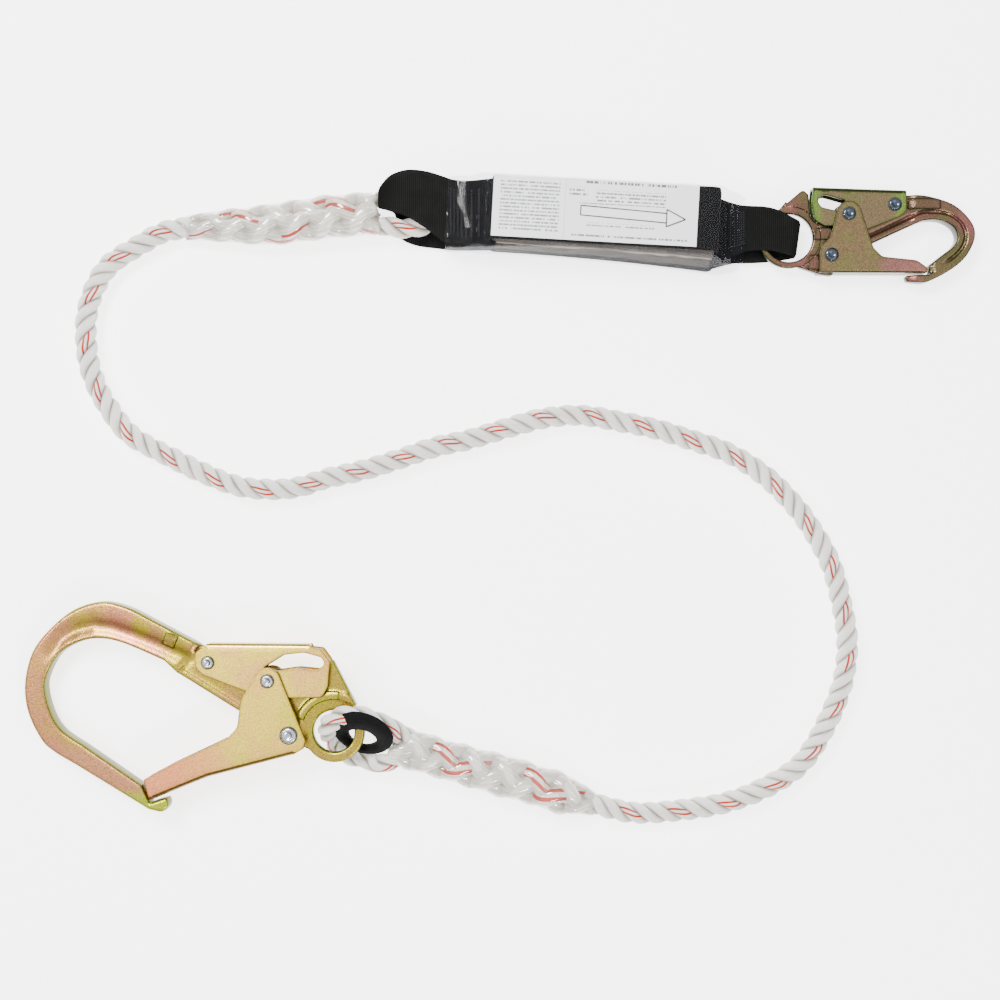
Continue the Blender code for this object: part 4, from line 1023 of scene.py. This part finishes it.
SNAP_AT = (187.8, 165.8, 8.6)
SNAP_RING = (-26.5, 11.8)
SNAP_LOCK = (41.4, 33.0)
SNAP_PIN = (11.3, 26.7)
SNAP_OUTLINE = rounded([
    (27.2, 7.9, 10), (54.0, 20.2),
    *curve((60.0, 22.7), (67.5, 23.2), (74.2, 21.8), (80.2, 17.6), (82.2, 11.2), (79.2, 5.6), (72.0, 0.0),
           (64.2, -6.2)),
    (64.2, -12.2, 0.6), (48.6, -13.0, 1.2), (49.8, -16.9, 2),
    *curve((59.0, -17.6), (63.5, -16.8), (73.1, -12.3), (83.1, -5.6), (89.9, 2.2), (93.8, 12.9), (91.0, 22.4),
           (79.8, 33.0), (63.0, 38.6), (50.1, 39.4)),
    (44.0, 40.0), (30.0, 36.0, 5), (22.0, 23.0, 8), (14.0, 17.0, 8), (2.0, 17.5, 8), (-12.6, 24.0, 6),
    (-13.9, 40.0, 3), (-17.6, 43.1, 2.4), (-32.7, 30.4, 0.6), *arc(SNAP_RING, 19.7, 108, 286, 24),
    (-6.0, -12.2, 3), (1.0, -13.0, 1.6), (8.0, -4.0, 5), (9.0, 5.5, 4)])


SNAP_HALF = 3.3
SNAP_PADS = [rounded([(50.2, 30.2, 1), (71.0, 30.2, 1), (70.6, 36.6, 1), (50.2, 36.9, 1)]),
             rounded([(-10.6, 10.6, 1), (1.0, 10.4, 1), (1.0, 18.0, 1), (-9.0, 18.0, 1)]),
             rounded([(-14.6, -8.6, 1), (-7.0, -9.4, 1), (-7.0, 0.6, 1), (-13.6, 0.0, 1)])]
SNAP_INNER = smooth([(27.2, 7.9), (42.0, 14.6), (57.4, 21.8), (64.2, 22.9), (74.2, 21.8), (80.9, 16.8),
                     (82.0, 11.2), (78.7, 5.6), (72.0, 0.0), (63.0, -5.6)], 5)


def snap_body_top(p, d):
    """Half thickness: a thick bow with a groove along its inner side, and raised pads."""
    u, v = p[:, 0], p[:, 1]
    bow = ramp(u, 50.2, 57.0)
    half = SNAP_HALF + 1.7 * bow
    ring = np.hypot(u - SNAP_RING[0], v - SNAP_RING[1])
    half = half - 0.9 * (1 - ramp(ring, 19.9, 20.6))
    inner = line_distance(p, SNAP_INNER)
    groove = np.exp(-((inner - 5.4) / 1.1) ** 2) * ramp(u, 14, 26) * ramp(v, -7.5, -1.0)
    half = half - 1.5 * groove + 0.5 * np.exp(-((inner - 2.4) / 1.6) ** 2) * ramp(u, 14, 26)
    notch = np.exp(-((u - 65.2) / 1.8) ** 2) * (1 - ramp(v, -5.0, -2.0)) * ramp(v, -12.0, -10.5)
    half = half - 1.8 * notch
    for pad, rise in zip(SNAP_PADS, (0.6, 0.2, 0.2)):
        s = signed(p, pad)
        half = half + rise * (ramp(s, -0.3, 0.2) - 0.7 * ramp(s, 0.5, 0.9))
    return np.minimum(half, 5.0) - drop(d, 1.3)


def build_snap_hook(rivets):
    place = hook_place(SNAP_AT, SNAP_RING, 0.0)
    olive = plated("snap_forging", (0.11, 0.065, 0.04), (0.20, 0.08, 0.07), (0.10, 0.09, 0.035),
                   (0.03, 0.035, 0.012), 0.26, 30.0, 0.22)
    sheet = plated("snap_sheet", (0.155, 0.11, 0.06), (0.22, 0.10, 0.085), (0.13, 0.13, 0.045),
                   (0.06, 0.10, 0.015), 0.28, 30.0, 0.22, 0.6, [(0, 0.211, 0.203, (0.13, 0.24, 0.035), 0.85),
                                           (0, 0.252, 0.262, (0.14, 0.25, 0.035), 0.8)])
    blade = plated("snap_gate_sheet", (0.16, 0.11, 0.055), (0.22, 0.10, 0.085), (0.14, 0.13, 0.045),
                   (0.05, 0.06, 0.015), 0.28, 36.0, 0.22, 0.6, [(0, 0.254, 0.272, (0.27, 0.11, 0.09), 0.7)])
    rings = (0.1, 0.3, 0.6, 1.0, 1.5, 2.1, 2.7, 3.3, 3.9, 4.4, 4.9, 5.4, 5.9, 6.5)
    forging = relief("snap_forging", [SNAP_OUTLINE, circle(SNAP_RING, 15.6, 60)], snap_body_top,
                     lambda p, d: -snap_body_top(p, d), olive, "snap_hook", place, rings, 1.6, 0.8, SNAP_PADS)
    stands_for(forging, "snap_body")
    reach = SNAP_HALF + PLATE_GAP + SHEET
    gate_reach = reach + PLATE_GAP + SHEET
    outline = rounded([
        (-12.5, 33.6), (-10.3, 22.4, 4), (-4.2, 19.0, 3), (6.0, 19.0), (23.9, 16.8), (45.1, 25.2, 4),
        (49.0, 29.1, 3), (49.0, 42.4, 0.8), (-11.4, 44.4, 0.6)])
    window = rounded([(-6.0, 31.1, 3.5), (3.4, 29.0, 6), (8.0, 28.0), (9.0, 35.6), (-4.2, 39.3, 4),
                      (-9.4, 36.0, 3)])
    folded("snap_lock_plates", [outline, window], reach, [(-11.2, 44.4), (48.8, 42.4)], 2.4, sheet,
           "snap_lock", place, "snap_lock_lever", 3.2)
    outline = rounded([
        (-7.9, -11.4, 0.6), (61.6, -11.6, 1), (62.4, -8.6, 1.5), (55.2, -3.4, 8), (32.8, -1.1, 5),
        (27.2, 4.5, 4), *arc(SNAP_PIN, 8.2, 25, 155, 12), (2.0, 21.3, 10), (-1.4, 11.2, 3), (-6.4, 6.2, 3),
        (-7.9, 0.0, 4)])
    folded("snap_gate_plates", [outline], gate_reach, [(0.8, -11.4), (61.2, -11.6)], 1.6, blade,
           "snap_gate_assembly", place, "snap_gate", 0.8)
    rivet("snap_gate_rivet_head", (0, 0), gate_reach, 4.6, 2.6, rivets, "snap_hook", place, "snap_gate_rivet",
          1.1)
    rivet("snap_lock_rivet_head", SNAP_LOCK, reach, 4.5, 2.3, rivets, "snap_hook", place, "snap_lock_rivet",
          1.1)
    rivet("snap_guide_pin_head", SNAP_PIN, gate_reach, 4.5, 2.2, rivets, "snap_gate_assembly", place,
          "snap_guide_pin", 1.1)


# ---------------------------------------------------------------- thimble

def build_thimble():
    """Moulded black ring: its near flange is broad over the eye's raised side and narrow at the low side."""
    mat, tree, shader = principled("thimble_black")
    grain = noise_of(tree, 600.0, 3.0)
    colour = blended(tree, grain, (0.002, 0.002, 0.002), (0.008, 0.008, 0.008))
    tree.links.new(colour, shader.inputs["Base Color"])
    adjust(shader, Roughness=0.75, Specular_IOR_Level=0.04)
    bump(tree, shader, grain, 0.0001, 0.5)
    place = eye_frame() @ Matrix.Rotation(EYE_TILT, 4, "X")
    m = 72
    verts = []
    for i in range(m):
        a = 2 * math.pi * i / m
        s = (1 + math.sin(a)) / 2
        side = max(-math.cos(a), 0) * s
        lift = s ** 1.2 + 1.1 * side
        inner, outer, far = 9.9 - 2.0 * s * s, 15.8 + 8.8 * s ** 1.4 + 1.2 * side, 1.5 - 5.0 * s
        root, middle = 12.6 - 1.4 * s, (inner + outer) / 2
        section = [(inner, 4.6 + 0.3 * lift), (inner + 1.4, 6.3 + 0.7 * lift),
                   (middle - 1.0, 6.6 + 2.7 * lift), (outer - 2.6, 6.6 + 2.2 * lift),
                   (outer, 5.8 + 0.4 * lift), (outer - 1.2, 4.9 + 0.4 * lift), (middle, 5.2 + 2.6 * lift),
                   (root, 3.0 + 2.0 * lift), (root, far + 0.4), (root - 1.6, far), (inner + 1.2, far + 0.8),
                   (inner, 2.8)]
        section = smooth(section, 2, closed=True)
        n = len(section)
        verts += [tuple(place @ Vector((r * math.cos(a), r * math.sin(a), z))) for r, z in section]
    faces = []
    for i in range(m):
        j = (i + 1) % m
        for k in range(n):
            q = (k + 1) % n
            faces.append((i * n + k, i * n + q, j * n + q, j * n + k))
    obj = mesh_object("thimble_ring", verts, faces, mat, "line", sharp=60)
    turned_outward(obj)
    stands_for(obj, "thimble")


# ---------------------------------------------------------------- shock pack

PACK_TURN = math.radians(-3.2)
PACK_CENTRE = (67.0, 176.1)
PACK_LENGTH = 147.0
PACK_LOW, PACK_HIGH = 0.8, 32.6
LEAN, NARROWER = 6.0, 3.6
WEBBING = 44.0
LOOP_STEPS = 6
PACK_AT = Matrix.Translation((PACK_CENTRE[0] * MM, PACK_CENTRE[1] * MM, 0))
PACK_PLACE = PACK_AT @ Matrix.Rotation(PACK_TURN, 4, "Z")

ROPE_LOOP_UPPER = [
    (-3.0, 201.6, 24.0), (-20.0, 201.4, 17.5), (-30.0, 202.0, 17.6), (-38.0, 204.5, 18.2),
    (-48.0, 207.4, 18.4), (-60.0, 208.2, 18.4), (-70.0, 205.0, 18.6), (-76.0, 199.0, 19.2),
    (-78.2, 194.0, 19.8), (-75.0, 189.0, 18.6), (-69.5, 187.2, 14.6), (-67.5, 186.8, 9.0),
    (-66.0, 187.6, 3.6), (-61.0, 189.5, 1.4), (-50.0, 198.0, 1.3), (-40.0, 201.0, 1.6), (-28.0, 201.4, 2.6),
    (-3.0, 201.6, 5.6)]
ROPE_LOOP_LOWER = [
    (-3.0, 158.6, 24.0), (-20.0, 158.2, 16.5), (-30.0, 159.4, 17.2), (-38.0, 163.0, 18.0),
    (-48.0, 170.5, 18.3), (-60.0, 178.0, 18.3), (-70.0, 181.3, 18.6), (-76.0, 182.6, 19.2),
    (-78.2, 183.0, 19.8), (-75.0, 182.6, 18.4), (-69.5, 181.6, 14.6), (-67.5, 180.6, 9.0),
    (-67.0, 176.5, 3.0), (-66.0, 168.0, 1.4), (-56.0, 162.6, 1.3), (-40.0, 160.2, 1.6), (-28.0, 159.0, 2.6),
    (-3.0, 158.6, 5.6)]
HOOK_LOOP_UPPER = [
    (137.0, 191.8, 16.6), (152.0, 187.4, 13.2), (160.0, 186.2, 13.0), (172.0, 185.6, 13.0),
    (181.0, 183.2, 13.0), (189.0, 179.0, 13.0), (193.6, 177.0, 11.2), (194.9, 176.4, 8.4),
    (193.6, 176.6, 5.4), (189.0, 178.0, 3.9), (180.0, 180.5, 3.7), (170.0, 182.0, 3.7), (158.0, 183.2, 3.8),
    (152.0, 184.0, 4.0), (137.0, 189.6, 8.0)]
HOOK_LOOP_LOWER = [
    (137.0, 148.8, 16.6), (152.0, 154.0, 13.2), (160.0, 156.8, 13.0), (172.0, 157.4, 13.0),
    (181.0, 156.0, 13.0), (188.0, 154.0, 13.0), (190.9, 153.4, 11.2), (191.6, 153.2, 8.4),
    (190.9, 153.2, 5.4), (187.0, 152.6, 3.9), (180.0, 151.6, 3.7), (170.0, 150.6, 3.7), (158.0, 150.2, 3.8),
    (152.0, 150.0, 4.0), (137.0, 145.6, 8.0)]


def ribbon(name, left, right, thickness, mat, place=None):
    """Woven ribbon between two edge lines, with soft rounded edges."""
    columns = 12
    left, right = np.array(left, float), np.array(right, float)
    middle = (left + right) / 2
    across = right - left
    normal = unit(np.cross(unit(np.gradient(middle, axis=0)), across))
    along = distance_along(middle) / WEBBING
    share = np.linspace(0, 1, columns + 1)
    half = thickness / 2
    full = np.concatenate([share, share[::-1]])
    edge = np.minimum(full, 1 - full) * np.linalg.norm(across, axis=1).mean()
    lift = half * np.sqrt(np.clip(1 - (1 - np.clip(edge / half, 0, 1)) ** 2, 0.04, 1))
    side = np.concatenate([np.ones(columns + 1), -np.ones(columns + 1)])
    m = len(full)
    verts = []
    for i in range(len(left)):
        for j in range(m):
            verts.append(left[i] + across[i] * full[j] + normal[i] * lift[j] * side[j])
    faces = grid_faces(len(left), m)
    uv = []
    for i in range(len(left) - 1):
        for j in range(m):
            k = (j + 1) % m
            uv += [(full[j], along[i]), (full[j], along[i + 1]), (full[k], along[i + 1]), (full[k], along[i])]
    faces += end_faces(len(left), m)
    uv += [(0.5, 0)] * (2 * m)
    return mesh_object(name, verts, faces, mat, "line", uv, place=place, sharp=60)


def loop_edges(upper, lower):
    both = smooth([(*a, *b) for a, b in zip(upper, lower)], LOOP_STEPS)
    return both[:, :3], both[:, 3:]


def stitches(name, upper, lower, first, last, mat, node_name):
    """A sewn block: rows of short raised stitches across the webbing."""
    left, right = loop_edges(upper, lower)
    left, right = left[first * 3:last * 3], right[first * 3:last * 3]
    verts, faces = [], []
    rows, count = 7, 14
    for i in range(rows):
        at = (i + 0.5) / rows * (len(left) - 1)
        a, b = int(at), min(int(at) + 1, len(left) - 1)
        l, r = left[a] + (left[b] - left[a]) * (at - a), right[a] + (right[b] - right[a]) * (at - a)
        for k in range(count):
            s0, s1 = 0.14 + 0.72 * k / count, 0.14 + 0.72 * (k + 0.72) / count
            p, q = l + (r - l) * s0, l + (r - l) * s1
            p[2] += 1.15
            q[2] += 1.15
            p[0] += 0.5
            q[0] -= 0.5
            start = len(verts)
            for c, size in ((p, 0.25), (p + (q - p) * 0.5, 0.45), (q, 0.25)):
                lift = 0.25 if size > 0.3 else 0.0
                verts += [(c[0] + dx * size, c[1], c[2] + dz * size + lift) for dx, dz in
                          ((1, 0), (0, 1), (-1, 0), (0, -1))]
            faces += grid_faces(3, 4, start)
    stands_for(mesh_object(name, verts, faces, mat, "line", sharp=180), node_name)


def lean_of(x, z):
    """How far the stack's near side lies towards -Y: less at the top, and more at the foot of the hook end."""
    share = np.clip(x / PACK_LENGTH + 0.5, 0, 1)
    level = np.clip(z / PACK_HIGH, 0, 1)
    return LEAN * share * share * (1 - level) - NARROWER * level


def build_tear_webbing(mat):
    """Folded layers with round edges, seen from the side through the film."""
    half = PACK_LENGTH / 2 - 2.6
    low, high, wide = PACK_LOW + 2.3, PACK_HIGH - 2.3, 21.4
    layers = 2
    section, ply = [], []
    for k in range(layers):
        z0 = low + (high - low) * k / layers
        for s in range(9):
            a = math.pi * (s / 8) - math.pi / 2
            bulge = 1.5 * math.cos(a)
            section.append((-wide + 1.5 - bulge, z0 + (high - low) / layers * (math.sin(a) + 1) / 2))
            ply.append(abs(math.sin(a)))
    section += [(-y, z) for y, z in reversed(section)]
    ply += ply[::-1]
    xs = np.linspace(-half, half, 60)
    verts = []
    for i, x in enumerate(xs):
        for y, z in section:
            wave = 0.5 * math.sin(x / 9.0 + z * 0.5) * (1 if y < 0 else 0.4)
            near = np.clip(0.5 - y / 40.0, 0, 1)
            verts.append((x, y + (0.3 + wave * 0.5) - lean_of(x,
                                                              z) * near, z + 0.5 * math.sin(x / 13.0 + 1.0)))
    m = len(section)
    faces = grid_faces(len(xs), m)
    uv = []
    for i in range(len(xs) - 1):
        for j in range(m):
            k = j + 1
            a, b = xs[i] / WEBBING, xs[i + 1] / WEBBING
            uv += [(j / 40, a), (j / 40, b), (k / 40, b), (k / 40, a)]
    faces += end_faces(len(xs), m)
    uv += [(0.5, 0)] * (2 * m)
    plies = [("ply", ply * len(xs))]
    stands_for(mesh_object("tear_webbing_layers", verts, faces, mat, "line", uv, plies, PACK_PLACE, 180),
               "tear_webbing")


def build_wrap_strap(mat):
    """Black webbing that runs round the stack lengthwise."""
    half, r = PACK_LENGTH / 2 - 1.0, 4.0
    low, high = PACK_LOW + 1.0, PACK_HIGH - 1.0
    line = rounded([(-half, low, r), (half, low, r), (half, high, r), (-half, high, r)], 6)
    line = closed_spaced(line, 5.0)
    line = np.vstack([line, line[:1]])
    left, right = [], []
    for x, z in line:
        left.append((x, WEBBING / 2, z))
        right.append((x, -WEBBING / 2 - lean_of(x, z), z))
    obj = ribbon("wrap_strap_webbing", left, right, 1.9, mat, PACK_PLACE)
    stands_for(obj, "wrap_strap")


def strip(points, width, z):
    """Vertices and faces of a flat line drawn along points."""
    p = spaced(points, 4.0)
    n = line_normals(p)
    verts = []
    for a, b in zip(p + n * width / 2, p - n * width / 2):
        verts += [(*a, z), (*b, z)]
    return verts, [(2 * i, 2 * i + 1, 2 * i + 3, 2 * i + 2) for i in range(len(p) - 1)]


def build_label():
    """Printed sheet with illegible bars, and a plain outlined arrow on it."""
    x0, x1, y0, y1 = -72.0, 58.4, -17.0, 22.0
    columns, rows = 60, 16
    verts, uv, faces = [], [], []
    for layer in (0, 1):
        for i in range(columns + 1):
            for j in range(rows + 1):
                u, v = i / columns, j / rows
                x, y = x0 + (x1 - x0) * u, y0 + (y1 - y0) * v
                ripple = 0.2 * math.sin(x / 11.0) * math.sin(y / 6.0 + x / 30.0)
                z = PACK_HIGH + 0.25 + ripple + 0.2 * (1 - layer)
                verts.append((x, y, z))
    n = (columns + 1) * (rows + 1)
    for i in range(columns):
        for j in range(rows):
            a = i * (rows + 1) + j
            quad = (a, a + rows + 1, a + rows + 2, a + 1)
            faces.append(quad)
            uv += [(i / columns, j / rows), ((i + 1) / columns, j / rows),
                   ((i + 1) / columns, (j + 1) / rows), (i / columns, (j + 1) / rows)]
            faces.append(tuple(n + q for q in reversed(quad)))
            uv += [(0.01, 0.01)] * 4
    printed = printed_label("label_print")
    obj = mesh_object("label_sheet", verts, faces, printed, "line", uv, place=PACK_PLACE, sharp=180)
    stands_for(obj, "pack_label")
    ink = simple("label_ink", (0.05, 0.05, 0.06), 0.6)
    verts, faces = [], []
    shaft = [(-16.0, 5.2), (38.6, 3.0)], [(-16.0, -0.9), (38.6, -3.0)], [(-16.0, 5.2), (-16.0, -0.9)]
    head = [(38.6, 5.6), (38.6, -5.4)], [(38.6, 5.6), (50.6, -0.2)], [(38.6, -5.4), (50.6, -0.2)]
    for line in (*shaft, *head):
        v, f = strip(line, 0.75, PACK_HIGH + 0.68)
        faces += [tuple(i + len(verts) for i in face) for face in f]
        verts += v
    obj = mesh_object("label_arrow", verts, faces, ink, "line", place=PACK_PLACE)


# along the pack, sideways shift, half width, height, and share of the stack's lean
FILM_STATIONS = [
    (-101.5, -0.6, 22.9, 22.0, 0.0), (-93.0, -0.4, 23.0, 24.4, 0.0), (-84.0, 0.0, 23.2, 28.4, 0.0),
    (-76.0, 0.0, 23.4, 34.0, 0.0), (-71.0, 0.0, 23.4, 34.2, 0.0), (-30.0, 0.0, 23.4, 34.2, 1.0),
    (20.0, 0.0, 23.4, 34.2, 1.0), (71.0, 0.0, 23.4, 34.2, 1.0), (76.0, -2.0, 24.4, 34.0, 0.6),
    (82.0, -2.4, 23.6, 26.4, 0.3), (91.0, -2.4, 22.6, 19.0, 0.0)]


def build_film():
    """Clear shrink cover over the pack, crinkled where it draws in at both necks."""
    rows, sides = np.array(FILM_STATIONS), 64
    xs = np.concatenate([np.arange(-101.5, -70, 1.0), np.arange(-70, 70, 4.0), np.arange(70, 91.5, 1.0)])
    verts = []
    rng = np.random.default_rng(11)
    waves = rng.random((7, 4))
    for x in xs:
        y, wide, high, lean = (np.interp(x, rows[:, 0], rows[:, k]) for k in (1, 2, 3, 4))
        section = rounded([(-wide, 0, 2.0), (wide, 0, 2.0), (wide, high, 3.0), (-wide, high, 3.0)], 4)
        section = closed_spaced(section, 2.2)
        section = spaced(np.vstack([section, section[:1]]), 1.0)
        section = spaced(section, steps_of(section).sum() / sides)[:sides]
        neck = max(ramp(x, -72, -84) if x < 0 else ramp(x, 74, 82), 0.0) if abs(x) > 60 else 0.0
        share = min(max(x / PACK_LENGTH + 0.5, 0), 1)
        for i, (across, z) in enumerate(section):
            a = 2 * math.pi * i / sides
            near = min(max(0.5 - across / 30.0, 0), 1)
            lump = sum(math.sin(w[0] * x * 0.3 + round(w[1] * 4 + 1) * a + w[2] * 6) for w in waves) * 0.12
            crease = math.sin(0.42 * x + 0.9 * math.sin(2 * a + 1) + 0.3 * math.sin(5 * a)) * 0.6 * neck
            foot = LEAN * lean * share * share * (1 - z / high)
            brow = (NARROWER - 0.6) * min(abs(lean), 1.0) * z / high
            shift = (foot - brow) * near
            size = lump * (0.25 + neck) + crease
            verts.append((x, y + across * (1 - 0.02 * size) - shift, max(z - (0.7 + size) * (z > 2), 0.0)))
    mat = clear_film("pack_film_clear", (0.015, 0.017, 0.03), 0.07, 0.05, 70.0)
    faces = grid_faces(len(xs), sides)
    stands_for(mesh_object("pack_film_cover", verts, faces, mat, "line", place=PACK_PLACE, sharp=180),
               "pack_film")


def build_pack():
    black = woven("webbing_black", (0.004, 0.004, 0.004), (0.014, 0.014, 0.013), 0.8)
    grey = woven("tear_webbing_taupe", (0.035, 0.029, 0.025), (0.08, 0.068, 0.058), 0.7, (0.38, 0.32, 0.22))
    thread = simple("thread_black", (0.012, 0.012, 0.012), 0.6)
    for name, upper, lower, node_name in (
            ("rope_side_webbing", ROPE_LOOP_UPPER, ROPE_LOOP_LOWER, "rope_side_loop"),
            ("hook_side_webbing", HOOK_LOOP_UPPER, HOOK_LOOP_LOWER, "hook_side_loop")):
        left, right = loop_edges(upper, lower)
        obj = ribbon(name, left, right, 2.0, black)
        stands_for(obj, node_name)
    stitches("rope_side_stitches", ROPE_LOOP_UPPER, ROPE_LOOP_LOWER, 1, 5, thread, "rope_side_stitching")
    stitches("hook_side_stitches", HOOK_LOOP_UPPER, HOOK_LOOP_LOWER, 1, 4, thread, "hook_side_stitching")
    build_tear_webbing(grey)
    build_wrap_strap(black)
    build_label()
    build_film()


def build_springs():
    """The springs show as they are packed, in bare steel."""
    steel = simple("spring_steel", (0.5, 0.5, 0.5), 0.3, metallic=1.0)
    for name in ("anchor_gate_spring", "anchor_lock_spring", "snap_gate_spring", "snap_lock_spring"):
        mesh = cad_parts[name].data
        mesh.materials.clear()
        mesh.materials.append(steel)


build_camera()
build_ropes()
build_stage()
# Near-black material for the painted shade round each rivet's foot.
RIVET_FOOT_SHADE = simple("rivet_foot_shade", (0.015, 0.015, 0.012), 0.6)
build_anchor_hook([simple("anchor_rivet_zinc", (0.40, 0.42, 0.44), 0.22, metallic=1.0), RIVET_FOOT_SHADE])
build_snap_hook([simple("snap_rivet_zinc", (0.06, 0.075, 0.095), 0.14, metallic=1.0), RIVET_FOOT_SHADE])
build_thimble()
build_pack()
build_springs()
